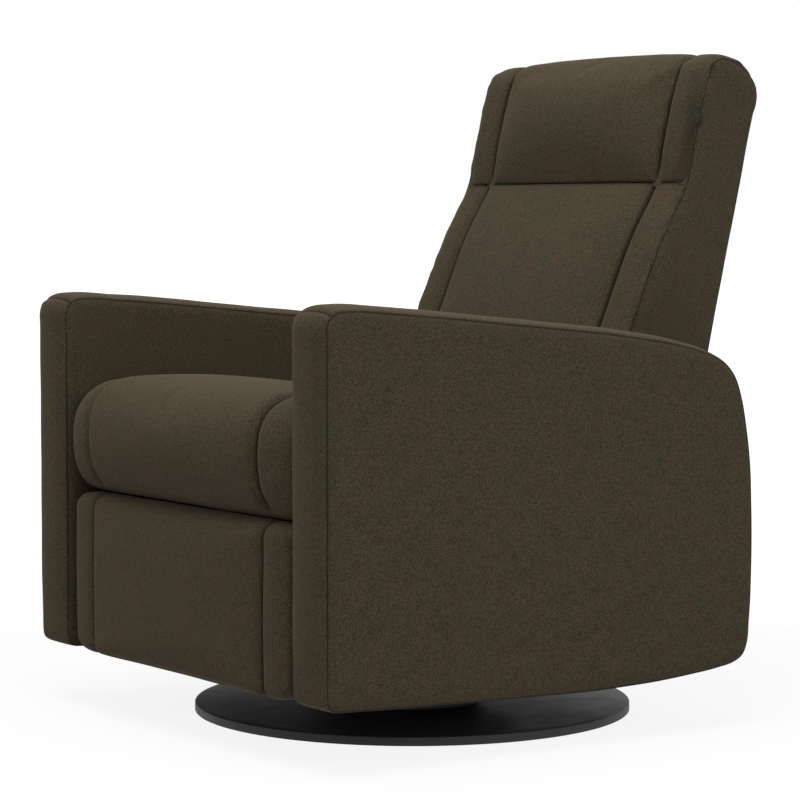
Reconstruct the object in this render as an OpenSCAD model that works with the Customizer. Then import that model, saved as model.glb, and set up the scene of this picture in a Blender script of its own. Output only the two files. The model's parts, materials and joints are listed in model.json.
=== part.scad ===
// Swivel glider recliner for a nursery, in millimetres.
// +Z is up, the sitter faces -Y, and the origin is the swivel axis on the floor.
// The sitter's left arm is at +X. Left and right pieces are mirrored across the YZ plane.

/* [Base] */
// Diameter of the round base plate
base_d = 627; // [560:1:680]
// Height of the top of the base plate above the floor
base_h = 15.3; // [13:0.1:20]
// Thickness of the steel skin of the base
base_skin = 2; // [1.2:0.1:3]
// Thickness of the felt ring that the base stands on
pad_h = 3; // [2:0.5:4]
// Width of the felt ring
pad_w = 34; // [20:1:50]

/* [Swivel] */
// Diameter of the two bearing races
race_d = 200; // [160:1:240]
// Thickness of each bearing race
race_t = 4; // [3:0.5:5]
// Diameter of a bearing ball
ball_d = 8; // [6:0.5:9]
// Number of bearing balls
ball_count = 24; // [12:1:30]
// Diameter of the centre bolt
bolt_d = 16; // [12:1:20]

/* [Glider] */
// Length of a glide link between its two pivots
link_len = 110; // [90:1:120]
// Width of a glide link
link_w = 30; // [27:1:36]
// Thickness of a glide link
link_t = 8; // [6:0.5:9]
// Half of the distance between the front and the rear links
link_y = 110; // [95:1:120]
// Height of the lower link pivots above the floor
carrier_z = 90; // [88:1:96]
// Diameter of the link pins
pin_d = 12; // [10:0.5:14]
// Outer diameter of the link bearings
bearing_d = 24; // [20:0.5:25]
// Thickness of the cradle side plates
cradle_t = 6; // [4:0.5:8]
// Inner face of a cradle side plate from the centre plane
cradle_x = 130; // [115:1:131]

/* [Chassis] */
// Length of the chassis rails
rail_len = 545; // [500:1:560]
// Height of the chassis rails
rail_h = 40; // [34:1:44]
// Side of the square cross tubes
tube_w = 30; // [25:1:34]
// Wall of the square cross tubes
tube_wall = 2; // [1.5:0.5:3]
// Distance of the front tube's middle in front of the swivel axis
front_tube_y = 250; // [235:1:255]
// Distance of the rear tube's middle behind the swivel axis
rear_tube_y = 240; // [225:1:245]

/* [Arms] */
// Overall width over both arms
overall_w = 770; // [740:1:800]
// Thickness of one arm
arm_w = 84; // [78:1:90]
// Length of an arm from front to rear
arm_len = 709; // [690:1:720]
// Height of an arm from its lowest to its highest edge
arm_h = 518; // [500:1:530]
// Lowest edge of the arms above the floor
arm_z = 74; // [70:1:80]
// Foremost edge of the arms in front of the swivel axis
arm_front = 398; // [390:1:404]
// How far the top and front strips of an arm crown over their seams
arm_crown = 8; // [4:0.5:12]
// Thickness of the plywood arm panel
panel_t = 18; // [15:0.5:21]
// Padding between the edge of the arm panel and the cover
arm_padding = 26; // [20:1:32]

/* [Seat] */
// Width of each side band of the seat cushion
seat_band_w = 73; // [63:1:83]
// Gap between the seat cushion and an arm
seat_gap = 3; // [2:0.5:8]
// Foremost point of the seat seam in front of the swivel axis
seat_front = 403; // [396:1:408]
// Rear edge of the seat cushion behind the swivel axis
seat_rear = 124; // [115:1:125]
// Underside of the seat cushion above the floor
seat_z = 322; // [318:1:326]
// Height of the seat cushion at its seams
seat_h = 156; // [145:1:165]
// How far the seat cushion crowns over its seams
seat_crown = 7; // [3:0.5:12]
// Depth of the sewn channels
seam_depth = 6; // [3:0.5:9]
// Height of the wooden seat rails
seat_rail_h = 36; // [30:1:37]
// Thickness of the wooden seat rails
seat_rail_t = 24; // [18:1:26]
// Forward travel of the seat when the back reclines
seat_travel = 40; // [20:1:50]

/* [Back] */
// Gap between the back and an arm
back_gap = 33.5; // [26:0.5:38]
// Length of the back from the recline axis to its top
back_len = 600; // [570:1:615]
// Lean of the back when upright, in degrees
back_lean = 13.6; // [10:0.1:17]
// Distance of the rear face of the back behind the recline axis
back_rear = 75.6; // [72:0.1:79]
// Depth of the lumbar pad in front of the recline axis, at its foot
lumbar_depth = 96; // [84:1:100]
// Width of each side wing of the back
back_wing_w = 68.5; // [57.5:0.5:80]
// Height of the headrest seam along the back
head_seam = 404; // [390:1:420]
// How far the centre panels of the back crown over their seams
back_crown = 12; // [6:0.5:16]
// Recline axis behind the swivel axis
recline_y = 215; // [210:1:218]
// Recline axis above the floor
recline_z = 360; // [356:1:364]

/* [Footrest] */
// Gap between the footrest pad and an arm
foot_gap = 11; // [4:1:21]
// Width of each side wing of the footrest
foot_wing_w = 63; // [55:1:75]
// Height of the footrest pad
foot_h = 227; // [215:1:228]
// Lower edge of the footrest pad above the floor
foot_z = 84; // [83:1:90]
// Foremost point of the footrest seam in front of the swivel axis
foot_front = 402; // [396:1:408]
// Thickness of the footrest pad at its seams
foot_pad_t = 40; // [32:1:44]
// Thickness of the footrest board
foot_board_t = 16; // [12:1:18]
// How far the footrest pad crowns over its seams
foot_crown = 4; // [2:0.5:8]
// Length of the footrest links between their pivots
foot_link_len = 170; // [150:1:172]
// Width of the footrest links
foot_link_w = 22; // [18:1:24]
// Thickness of the footrest links and brackets
foot_link_t = 5; // [4:0.5:5]
// Angle between a footrest link and the line of travel when closed
fold_angle = 86; // [82:1:88]
// Rise of the line of travel of the footrest, in degrees
travel_rise = 8; // [4:1:12]

/* [Release] */
// Length of the recessed handle cup
cup_len = 96; // [80:1:110]
// Height of the recessed handle cup
cup_h = 42; // [36:1:50]
// Depth of the recessed handle cup
cup_depth = 19; // [15:0.5:22]
// Length of the release paddle
paddle_len = 58; // [48:1:62]
// Diameter of the release cable's casing
cable_d = 5; // [4:0.5:6]

/* [Fits] */
// Radial clearance of a pin that is pressed or riveted in its seat
pin_fit = 0.02; // [0.01:0.01:0.04]
// Radial clearance of a turning pin
run_fit = 0.05; // [0.03:0.01:0.1]
// Clearance between a pad and the frame inside it
pad_gap = 0.3; // [0.2:0.1:0.5]
// Side clearance between moving plates
side_gap = 1; // [0.8:0.1:1.2]

/* [Hidden] */

// How far a cutting shape runs past what it cuts
over = 1;
// Smoothness of round parts, and of the children of a hull
$fn = 64;
hull_fn = 32;

// Colours
fabric = "#4a433a";
black_metal = "#1c1c1c";
zinc = "#9a9da0";
steel = "#6f7275";
plywood = "#c9a877";
foam = "#e6dcae";
felt = "#3a3a3a";
web_black = "#26262a";

// Base
base_r = base_d / 2;
core_r = base_r - base_skin;
core_top = base_h - base_skin;
cover_lift = pad_h * 0.85;
pad_ring_share = 0.9;
round_fn = 128;

// Swivel bearing: both races hold the balls in a round groove
race_gap = ball_d / 2;
lower_race_top = base_h + race_t;
upper_race_z = lower_race_top + race_gap;
upper_race_top = upper_race_z + race_t;
ball_ring = race_d * 0.425;
ball_z = lower_race_top + race_gap / 2;
groove_fit = 0.02;
bolt_head_d = bolt_d * 1.75;
bolt_head_h = bolt_d * 0.6;
nut_d = bolt_d * 1.6;
nut_h = bolt_d * 0.4;

// Cradle that the glide links hang from
hanger_z = carrier_z + link_len;
cradle_plate_t = 6;
cradle_top = upper_race_top + cradle_plate_t;
cradle_half_y = 80;
cradle_rim_y = 20;
cradle_rim = 15;
cradle_out = cradle_x + cradle_t;
cradle_ledge = 5;
link_gap = 6;
link_x = cradle_out + link_gap;
bearing_over = 1;
bearing_x = link_x - bearing_over;
bearing_w = link_t + 2 * bearing_over;
bearing_play = side_gap / 4;
collar_w = 2.5;
collar_d = pin_d * 1.5;
head_w = 5;
head_d = pin_d * 1.7;

// Chassis
rail_gap = 3;
rail_x = bearing_x + bearing_w + rail_gap;
rail_t = 5;
rail_z = arm_z + 1;
rail_front = -290;
flange_w = 30;
flange_t = 4;
tube_z = rail_z + flange_t;
end_plate_t = 4;
end_plate_h = 80;
bolt_row_shares = [0.575, 0.825];
arm_bolt_d = 8;
arm_bolt_head_d = 13;
arm_bolt_sleeve_d = 12;
arm_in = overall_w / 2 - arm_w;
arm_mid = overall_w / 2 - arm_w / 2;
panel_x = arm_mid - panel_t / 2;
tube_half = arm_in - pad_gap;

// Rounded corners of the arm outline, as shares of its length and height: y, z, radius
arm_outline_shares = [
    [0.017, 0.066, 0.014], [0.096, 0.075, 0.042], [0.31, 0.085, 0.056], [0.67, 0.078, 0.056],
    [0.9, 0.087, 0.049], [0.96, 0.085, 0.031], [0.956, 0.429, 0.044], [0.935, 0.656, 0.051],
    [0.9, 0.764, 0.059], [0.82, 0.836, 0.042], [0.693, 0.87, 0.035], [0.449, 0.915, 0.028],
    [0.134, 0.965, 0.021], [0.044, 0.971, 0.02]
];
arm_corners = len(arm_outline_shares);
// How far the side faces are drawn in, and the share of the height where the crown begins
arm_edge = 3;
arm_crown_foot_share = 0.2;
arm_seam_step_shares = [0, 0.3, 1];
arm_strip_shares = [0.15, 0.35, 0.65, 1, 1.35, 1.65, 1.85];

// Rear panel between the arms
rear_inset = 2;
rear_t = 20;
rear_out = arm_len - arm_front - rear_inset;
rear_in = rear_out - rear_t;
rear_top = 312;
rear_z = 90;
rear_board_t = 10;
rear_border = 14;
rear_soft = 6;

// Seat slide
track_z = 254;
roller_d = 24;
roller_w = 10;
roller_play = 0.3;
roller_ys = [-118, 58];
track_wall = 3;
track_depth = 17;
track_half = roller_d / 2 + roller_play + track_wall;
track_lead = 82;
track_tail = 100;
track_front = roller_ys[0] - seat_travel - track_lead;
track_rear = roller_ys[1] + track_tail;
plate_t = 4;
plate_gap = 3;
plate_x = arm_in - 39;
track_x = plate_x + plate_t + plate_gap;
track_screw_inset = 35;
track_screw_ys = [track_front + track_screw_inset, track_rear - track_screw_inset];
track_screw_d = 8;
track_screw_head_d = 14;
track_sleeve_d = 16;

// Seat
seat_half_w = arm_in - seat_gap;
seat_seam_x = seat_half_w - seat_band_w;
seat_side_x = plate_x - seat_rail_t;
staple_gap = 0.5;
rail_top = seat_z - staple_gap;
seat_frame_z = rail_top - seat_rail_h;
seat_frame_front = -335;
seat_frame_rear = 140;
web_count = 6;
web_w = 45;
web_t = 2;
foam_inset = 45;
foam_half_w = seat_seam_x - foam_inset;
foam_front = -322;
foam_rear = 100;
foam_h = 112;
nose_depth = 73;
side_draw = 42;
rear_round = 22;
rear_fall = 9;

// Footrest linkage
drive_y = -285;
drive_z = 262;
plate_nose = 15;
drive_gap = 5;
drive_x = plate_x - drive_gap - foot_link_t;
lift_x = drive_x - side_gap - foot_link_t;
foot_bracket_x = lift_x - side_gap - foot_link_t;
foot_pin_d = 8;
foot_pin_head_d = 14;
foot_pin_head = 2.4;
drive_dir = travel_rise - fold_angle;
lift_dir = travel_rise + fold_angle;
elbow_y = drive_y - foot_link_len * cos(drive_dir);
elbow_z = drive_z + foot_link_len * sin(drive_dir);
foot_y = elbow_y - foot_link_len * cos(lift_dir);
foot_pivot_z = elbow_z + foot_link_len * sin(lift_dir);
drive_tube_d = 16;
drive_tube_wall = 2;
drive_tube_offset = 25;
drive_tube_y = (drive_y + elbow_y) / 2 + drive_tube_offset;
drive_tube_z = (drive_z + elbow_z) / 2 - foot_pin_d / 2;
tab_d = drive_tube_d * 1.5;
foot_half_w = arm_in - foot_gap;
foot_seam_x = foot_half_w - foot_wing_w;
board_y = foot_pad_t - foot_front;
board_back = board_y + foot_board_t;
board_margin = 26;
foot_flange_w = 25;
foot_flange_t = 3;
foot_flange_h = 55;
foot_draw_low = 24;
foot_draw_high = 12;
foot_draw_front = 16;
foot_corner = 16;

// Back frame, in the back's own axes: n rearward, v up along the back
stile_w = 24;
stile_n = 22;
stile_depth = 40;
stile_foot = 44;
stile_top = 40;
back_half_w = arm_in - back_gap;
back_seam_x = back_half_w - back_wing_w;
bracket_t = 4;
bracket_gap = 6;
back_bracket_x = plate_x - bracket_gap - bracket_t;
stile_x = back_bracket_x - stile_w;
bracket_reach = 190;
bracket_eye = 15;
recline_pin_d = 10;
recline_head_d = 16;
parting_n = 20;
pad_foot = 42;
skirt_foot = -43;
skirt_t = 13;
shell_soft = 12;
top_roll = 34;
head_roll = 40;
wing_draw = 8;

// Depth of the back in front of the recline axis, as shares of the lumbar depth,
// at shares of the back's length
back_depth_shares = [
    [0.07, 1], [0.175, 1], [0.33, 0.8], [0.39, 0.74], [0.5, 0.61], [0.567, 0.5],
    [0.625, 0.37], [0.675, 0.28], [0.79, 0.31], [0.883, 0.31], [0.95, 0.27], [1, 0.2]
];

// Release handle in the outer face of the right arm
cup_y = -215;
cup_z = 430;
cup_wall = 2;
bezel_rim = 6;
bezel_proud = 1.5;
paddle_t = 3;
paddle_lip = 6;
paddle_pin_d = 3;
paddle_inset = 5;
paddle_end_gap = 4;
paddle_x = overall_w / 2 - paddle_inset;
paddle_y = cup_y + cup_len / 2 - cup_wall - paddle_end_gap;
cable_bend = 22;
cable_z = 88;
cable_inset = 15;
cable_x = cable_inset - overall_w / 2;
channel_w = 8;

// Latch lever beside the front tube
latch_inset = 18;
latch_x = -(arm_in - latch_inset);
latch_len = 38;
latch_h = 72;
lever_pin_d = 5;
lever_t = 4;
lever_eye_d = 13;
lever_w = 10;
lever_drop = 34;
lever_reach = 30;
lever_y = tube_w / 2 - front_tube_y + latch_len * 0.45;
lever_z = tube_z + latch_h * 0.8;

// Puts a child that is built on the +X side on the left (1) or on the right (-1)
module side(s) {
    if (s > 0) children();
    else mirror([1, 0, 0]) children();
}

// A plate in the YZ plane, drawn as [y, z], from x0 over thickness t
module yz_plate(x0, t) {
    translate([x0, 0, 0]) rotate([90, 0, 90]) linear_extrude(t) children();
}

// A round bar along X at [y, z]
module x_bar(x0, x1, d, y, z) {
    translate([x0, y, z]) rotate([0, 90, 0]) cylinder(d = d, h = x1 - x0);
}

// A box given by its lowest and highest corners
module box(lo, hi) {
    translate(lo) cube(hi - lo);
}

// A closed soft form through rings of equal point count, with a middle point on each end cap
module loft(rings) {
    n = len(rings[0]);
    m = len(rings);
    points = [for (r = rings) each r];
    caps = [ring_middle(rings[0]), ring_middle(rings[m - 1])];
    skin = [for (i = [0:m - 2], j = [0:n - 1])
        let (a = i * n + j, b = i * n + (j + 1) % n)
        each [[a, b, a + n], [b, b + n, a + n]]];
    first_cap = [for (j = [0:n - 1]) [(j + 1) % n, j, m * n]];
    last_cap = [for (j = [0:n - 1]) [(m - 1) * n + j, (m - 1) * n + (j + 1) % n, m * n + 1]];
    polyhedron(points = concat(points, caps), faces = concat(skin, first_cap, last_cap), convexity = 4);
}

function ring_middle(r) = [for (k = [0:2]) [for (p = r) p[k]] * [for (p = r) 1] / len(r)];

// A pin along X with its head: journal from x0 to x1, head from x1 on
module headed_pin(x0, x1, d, head, head_t, y, z) {
    x_bar(x0, x1, d, y, z);
    x_bar(x1, x1 + head_t, head, y, z);
}

// A superellipse quarter: how far the edge has drawn in at share t of the way to the side
function drawn_in(t, power) = 1 - pow(max(0, 1 - pow(t, power)), 1 / power);

// A sewn seam's groove, one deep at distance zero
function groove(distance, width) = exp(-pow(distance / width, 2));

// Stations across a cushion: dense at the seam and the side
middle_shares = [0.3, 0.6, 0.85, 0.96, 1];
border_shares = [0.12, 0.4, 0.68, 0.88, 0.97, 1];
function half_stations(seam, half) = concat(
    [for (k = middle_shares) seam * k],
    [for (k = border_shares) seam + (half - seam) * k]
);

function mirrored(list) = concat([for (i = [len(list) - 1:-1:0]) -list[i]], [0], list);

// Base: a steel tray over a fibreboard disc on a felt ring
module base_cover() {
    color(black_metal)
    difference() {
        translate([0, 0, cover_lift]) cylinder(r = base_r, h = base_h - cover_lift, $fn = round_fn);
        translate([0, 0, cover_lift - over])
            cylinder(r = core_r, h = core_top - cover_lift + over, $fn = round_fn);
        cylinder(d = bolt_d + 2 * pin_fit, h = base_h + over);
    }
}

module base_core() {
    color(plywood)
    difference() {
        translate([0, 0, pad_h]) cylinder(r = core_r - pad_gap, h = core_top - pad_h, $fn = round_fn);
        cylinder(d = bolt_d + 2 * pin_fit, h = base_h);
        cylinder(d = nut_d + 2 * over, h = pad_h + nut_h);
    }
}

module floor_ring() {
    middle_r = base_r * pad_ring_share;
    color(felt)
    difference() {
        cylinder(r = middle_r + pad_w / 2, h = pad_h, $fn = round_fn);
        translate([0, 0, -over]) cylinder(r = middle_r - pad_w / 2, h = pad_h + 2 * over, $fn = round_fn);
    }
}

module race_groove() {
    translate([0, 0, ball_z]) rotate_extrude($fn = round_fn)
        translate([ball_ring, 0]) circle(r = ball_d / 2 + groove_fit, $fn = hull_fn);
}

// One bearing race with its groove and a hole for the centre bolt
module race(z, hole_fit) {
    color(zinc)
    difference() {
        translate([0, 0, z]) cylinder(d = race_d, h = race_t, $fn = round_fn);
        race_groove();
        translate([0, 0, z - over]) cylinder(d = bolt_d + 2 * hole_fit, h = race_t + 2 * over);
    }
}

module bearing_balls() {
    color(steel)
    for (i = [0:ball_count - 1])
        rotate([0, 0, i * 360 / ball_count])
            translate([ball_ring, 0, ball_z]) sphere(d = ball_d, $fn = hull_fn);
}

module pivot_bolt() {
    head_z = cradle_top + bearing_play;
    color(zinc) {
        translate([0, 0, pad_h]) cylinder(d = bolt_d, h = head_z - pad_h);
        translate([0, 0, head_z]) cylinder(d = bolt_head_d, h = bolt_head_h, $fn = 6);
        translate([0, 0, pad_h]) cylinder(d = nut_d, h = nut_h, $fn = 6);
    }
}

// Turntable: a plate on the upper race and the cradle sides that the glide links hang from
module cradle_plate() {
    half_x = cradle_out + cradle_ledge;
    color(black_metal)
    difference() {
        box([-half_x, -cradle_half_y, upper_race_top], [half_x, cradle_half_y, cradle_top]);
        translate([0, 0, upper_race_top - over])
            cylinder(d = bolt_d + 2 * run_fit, h = cradle_plate_t + 2 * over);
    }
}

module cradle_sides() {
    top = hanger_z + cradle_rim;
    shoulder = hanger_z - cradle_rim;
    wide = link_y + cradle_rim_y;
    color(black_metal)
    for (s = [-1, 1]) side(s) difference() {
        yz_plate(cradle_x, cradle_t) polygon([
            [-cradle_half_y, cradle_top], [cradle_half_y, cradle_top],
            [wide, shoulder], [wide, top], [-wide, top], [-wide, shoulder]
        ]);
        for (e = [-1, 1])
            x_bar(cradle_x - over, cradle_out + over, pin_d + 2 * pin_fit, e * link_y, hanger_z);
    }
}

// Pins that hang the links: riveted head inside, shoulder, journal and outer collar
module hanger_pins() {
    journal_end = bearing_x + bearing_w + bearing_play;
    color(zinc)
    for (s = [-1, 1], e = [-1, 1]) side(s) {
        x_bar(cradle_x - head_w, cradle_x, head_d, e * link_y, hanger_z);
        x_bar(cradle_out, bearing_x - bearing_play, collar_d, e * link_y, hanger_z);
        headed_pin(cradle_x, journal_end, pin_d, collar_d, collar_w, e * link_y, hanger_z);
    }
}

// A glide link: a flat bar with a bearing eye at each end
module glide_link(s, e) {
    x1 = link_x + link_t;
    y = e * link_y;
    half = link_w / 2;
    color(black_metal)
    side(s) difference() {
        union() {
            x_bar(link_x, x1, link_w, y, hanger_z);
            x_bar(link_x, x1, link_w, y, carrier_z);
            box([link_x, y - half, carrier_z], [x1, y + half, hanger_z]);
        }
        for (z = [carrier_z, hanger_z])
            x_bar(link_x - over, x1 + over, bearing_d + 2 * pin_fit, y, z);
    }
}

module link_bearings(e) {
    color(zinc)
    for (s = [-1, 1], z = [carrier_z, hanger_z]) side(s) difference() {
        x_bar(bearing_x, bearing_x + bearing_w, bearing_d, e * link_y, z);
        x_bar(bearing_x - over, bearing_x + bearing_w + over, pin_d + 2 * run_fit, e * link_y, z);
    }
}

// Chassis: rails, cross tubes, arms and rear panel
module rail(s) {
    color(black_metal)
    side(s) difference() {
        union() {
            box([rail_x, rail_front, rail_z], [rail_x + rail_t, rail_front + rail_len, rail_z + rail_h]);
            box([rail_x, rail_front, rail_z], [rail_x + flange_w, rail_front + rail_len, rail_z + flange_t]);
        }
        for (e = [-1, 1])
            x_bar(rail_x - over, rail_x + rail_t + over, pin_d + 2 * pin_fit, e * link_y, carrier_z);
        // the web is notched where the cross tubes sit on the flange
        for (y = [-front_tube_y, rear_tube_y])
            box([rail_x - over, y - tube_w / 2 - pad_gap, tube_z],
                [rail_x + rail_t + over, y + tube_w / 2 + pad_gap, rail_z + rail_h + over]);
    }
}

// Pins of the lower pivots, riveted to the rails
module carrier_pins() {
    x0 = bearing_x - bearing_play;
    x1 = bearing_x + bearing_w + bearing_play;
    color(zinc)
    for (s = [-1, 1], y = [-link_y, link_y]) side(s) {
        x_bar(x0 - collar_w, x0, collar_d, y, carrier_z);
        x_bar(x1, rail_x, collar_d, y, carrier_z);
        headed_pin(x0, rail_x + rail_t, pin_d, head_d, head_w, y, carrier_z);
    }
}

// A square tube from arm to arm with a welded plate on each end
module cross_tube(y) {
    low = y - tube_w / 2;
    high = y + tube_w / 2;
    top = tube_z + tube_w;
    inner = tube_half - end_plate_t;
    color(black_metal)
    difference() {
        union() {
            box([-inner, low, tube_z], [inner, high, top]);
            for (s = [-1, 1]) side(s) box([inner, low, tube_z], [tube_half, high, tube_z + end_plate_h]);
        }
        box([-inner, low + tube_wall, tube_z + tube_wall], [inner, high - tube_wall, top - tube_wall]);
        for (s = [-1, 1]) side(s) arm_bolt_holes(arm_bolt_d + 2 * pin_fit, inner - over, tube_half + over);
    }
}

// Bolts that clamp the end plates to the arm panels through a steel sleeve in the padding
module arm_bolts() {
    inner = tube_half - end_plate_t;
    color(zinc)
    for (s = [-1, 1]) side(s) {
        arm_bolt_holes(arm_bolt_head_d, inner - head_w, inner);
        arm_bolt_holes(arm_bolt_d, inner, tube_half);
        arm_bolt_holes(arm_bolt_sleeve_d, tube_half, panel_x);
        arm_bolt_holes(arm_bolt_d, panel_x, panel_x + panel_t);
    }
}

// The arm's side outline as [y, z], set in or out by a length
module arm_outline(grow = 0) {
    offset(delta = grow)
    hull()
    for (c = arm_outline_shares)
        translate([c[0] * arm_len - arm_front, c[1] * arm_h + arm_z])
            circle(r = c[2] * arm_len, $fn = hull_fn);
}

module arm_panel_shape(gap) {
    yz_plate(panel_x - gap, panel_t + 2 * gap) arm_outline(gap - arm_padding);
}

module arm_bolt_holes(d, x0, x1) {
    for (y = [-front_tube_y, rear_tube_y], k = bolt_row_shares)
        x_bar(x0, x1, d, y, tube_z + k * end_plate_h);
}

module track_screw_holes(d, x0, x1) {
    for (y = track_screw_ys) x_bar(x0, x1, d, y, track_z);
}

module arm_panel(s) {
    color(plywood)
    side(s) difference() {
        arm_panel_shape(0);
        arm_bolt_holes(arm_bolt_d + 2 * pin_fit, panel_x - over, panel_x + panel_t + over);
        track_screw_holes(track_screw_d + 2 * pin_fit, panel_x - over, panel_x + panel_t + over);
    }
}

// The same outline as points: each corner's arc runs between the tangents to its neighbours
function corner(i) = let (c = arm_outline_shares[(i + arm_corners) % arm_corners])
    [c[0] * arm_len - arm_front, c[1] * arm_h + arm_z, c[2] * arm_len];
function tangent(i) = let (a = corner(i), b = corner(i + 1), dy = b[0] - a[0], dz = b[1] - a[1])
    atan2(dz, dy) - acos((a[2] - b[2]) / norm([dy, dz]));

// The arm's section at x, grown by a length, with the crown on all but its foot
function arm_ring(x, grow, crown) = [
    for (i = [arm_corners - 1:-1:0])
        let (
            c = corner(i),
            turn = (tangent(i) - tangent(i - 1) + 720) % 360,
            steps = turn > 60 ? 5 : turn > 40 ? 3 : 1
        )
        for (k = [steps:-1:0])
            let (
                a = tangent(i - 1) + turn * k / steps,
                high = (c[1] + c[2] * sin(a) - arm_z) / arm_h,
                r = c[2] + grow + crown * min(1, max(0, high / arm_crown_foot_share))
            )
            [x, c[0] + r * cos(a), c[1] + r * sin(a)]
];

// Padded arm: crisp side seams, crowned top and front strips, open underneath round its panel
module arm_cover(s) {
    strip = arm_w / 2 - arm_edge;
    inner = [for (k = arm_seam_step_shares) [arm_edge * k, arm_edge * (k - 1), 0]];
    middle = [for (k = arm_strip_shares) [arm_edge + strip * k, 0, arm_crown * (1 - pow(abs(k - 1), 2.4))]];
    outer = [for (i = [2:-1:0]) [arm_w - inner[i][0], inner[i][1], 0]];
    color(fabric)
    side(s) difference() {
        loft([for (k = concat(inner, middle, outer)) arm_ring(arm_in + k[0], k[1], k[2])]);
        arm_panel_shape(pad_gap);
        translate([0, 0, -arm_padding - arm_crown]) arm_panel_shape(pad_gap);
        arm_bolt_holes(arm_bolt_sleeve_d + 2 * pad_gap, arm_in - over, panel_x);
        track_screw_holes(track_sleeve_d + 2 * pad_gap, arm_in - over, panel_x);
        if (s < 0) release_pocket();
    }
}

module rear_board() {
    half = arm_in - rear_border;
    color(plywood)
    box([-half, rear_in, rear_z + rear_border], [half, rear_in + rear_board_t, rear_top - rear_border]);
}

// Upholstered panel that closes the chassis behind the seat
module rear_cover() {
    half = tube_half;
    hold = arm_in - rear_border + pad_gap;
    color(fabric)
    difference() {
        hull() {
            box([-half, rear_in, rear_z], [half, rear_out - rear_soft, rear_top]);
            box([-half + rear_soft, rear_in, rear_z + rear_soft],
                [half - rear_soft, rear_out, rear_top - rear_soft]);
        }
        box([-hold, rear_in - over, rear_z + rear_border - pad_gap],
            [hold, rear_in + rear_board_t + pad_gap, rear_top - rear_border + pad_gap]);
    }
}

// C-shaped tracks that the seat rollers run in
module seat_tracks() {
    x1 = track_x + track_depth;
    low = track_z - track_half;
    high = track_z + track_half;
    color(zinc)
    for (s = [-1, 1]) side(s) difference() {
        box([track_x, track_front, low], [x1, track_rear, high]);
        box([track_x - over, track_front - over, low + track_wall],
            [x1 - track_wall, track_rear + over, high - track_wall]);
        track_screw_holes(track_screw_d + 2 * pin_fit, track_x, x1 + over);
    }
}

// Screws with a sleeve that carries the track through the padding to the arm panel
module track_screws() {
    seat = track_x + track_depth;
    color(steel)
    for (s = [-1, 1]) side(s) {
        track_screw_holes(track_screw_head_d, seat - track_wall - head_w, seat - track_wall);
        track_screw_holes(track_screw_d, seat - track_wall, seat);
        track_screw_holes(track_sleeve_d, seat, panel_x);
        track_screw_holes(track_screw_d, panel_x, panel_x + panel_t);
    }
}

// Release: a recessed cup in the right arm, a paddle, a cable and a latch lever
module cup_box(gap, depth, proud) {
    out = overall_w / 2;
    box([out - depth, cup_y - cup_len / 2 - gap, cup_z - cup_h / 2 - gap],
        [out + proud, cup_y + cup_len / 2 + gap, cup_z + cup_h / 2 + gap]);
}

// Room for the cup, and a channel for the cable down and inward under the arm panel
module release_pocket() {
    half = channel_w / 2;
    outer = half - cable_x;
    cup_box(pad_gap, cup_depth + pad_gap, over);
    box([outer - channel_w, cup_y - half, 0], [outer, cup_y + half, cup_z]);
    box([panel_x, cup_y - half, 0], [outer, cup_y + half, cable_z + cable_bend]);
    box([arm_in - over, cup_y - half, 0], [outer, cup_y + half, cable_z + half]);
}

// Cup with a flat rim on the cover, and the paddle's hinge pin across its rear end
module release_bezel() {
    out = overall_w / 2;
    color(black_metal)
    side(-1) {
        difference() {
            union() {
                cup_box(0, cup_depth, bezel_proud);
                cup_box(bezel_rim, 0, bezel_proud);
            }
            cup_box(-cup_wall, cup_depth - cup_wall, over + bezel_proud);
        }
        translate([paddle_x, paddle_y, cup_z - cup_h / 2]) cylinder(d = paddle_pin_d, h = cup_h);
    }
}

module release_paddle() {
    half = cup_h / 2 - cup_wall - pad_gap;
    low = cup_z - half;
    high = cup_z + half;
    free_end = paddle_y - paddle_len;
    color(black_metal)
    side(-1) difference() {
        union() {
            translate([paddle_x, paddle_y, low]) cylinder(d = 2 * paddle_pin_d, h = 2 * half);
            box([paddle_x - paddle_t / 2, free_end, low], [paddle_x + paddle_t / 2, paddle_y, high]);
            box([paddle_x - paddle_lip, free_end, low], [paddle_x, free_end + paddle_t, high]);
        }
        translate([paddle_x, paddle_y, low - over])
            cylinder(d = paddle_pin_d + 2 * run_fit, h = 2 * half + 2 * over);
    }
}

// Casing of the cable: down from the cup, round a bend and in under the arm panel
module release_cable() {
    top = cup_z - cup_h / 2;
    low = cable_z + cable_bend;
    color(black_metal) {
        translate([cable_x, cup_y, low]) cylinder(d = cable_d, h = top - low, $fn = hull_fn);
        translate([cable_x + cable_bend, cup_y, low]) rotate([90, 0, 0]) rotate([0, 0, 180])
            rotate_extrude(angle = 90) translate([cable_bend, 0]) circle(d = cable_d, $fn = hull_fn);
        x_bar(cable_x + cable_bend, latch_x, cable_d, cup_y, cable_z);
    }
}

// Plate on the front tube with the lever's pin and the stop for the cable's casing
module latch_bracket() {
    back = tube_w / 2 - front_tube_y;
    pin_end = latch_x + lever_t + side_gap + lever_t + bearing_play;
    color(zinc) {
        box([latch_x, back, tube_z], [latch_x + lever_t, back + latch_len, tube_z + latch_h]);
        headed_pin(latch_x + lever_t, pin_end, lever_pin_d, lever_w, side_gap, lever_y, lever_z);
    }
}

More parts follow.
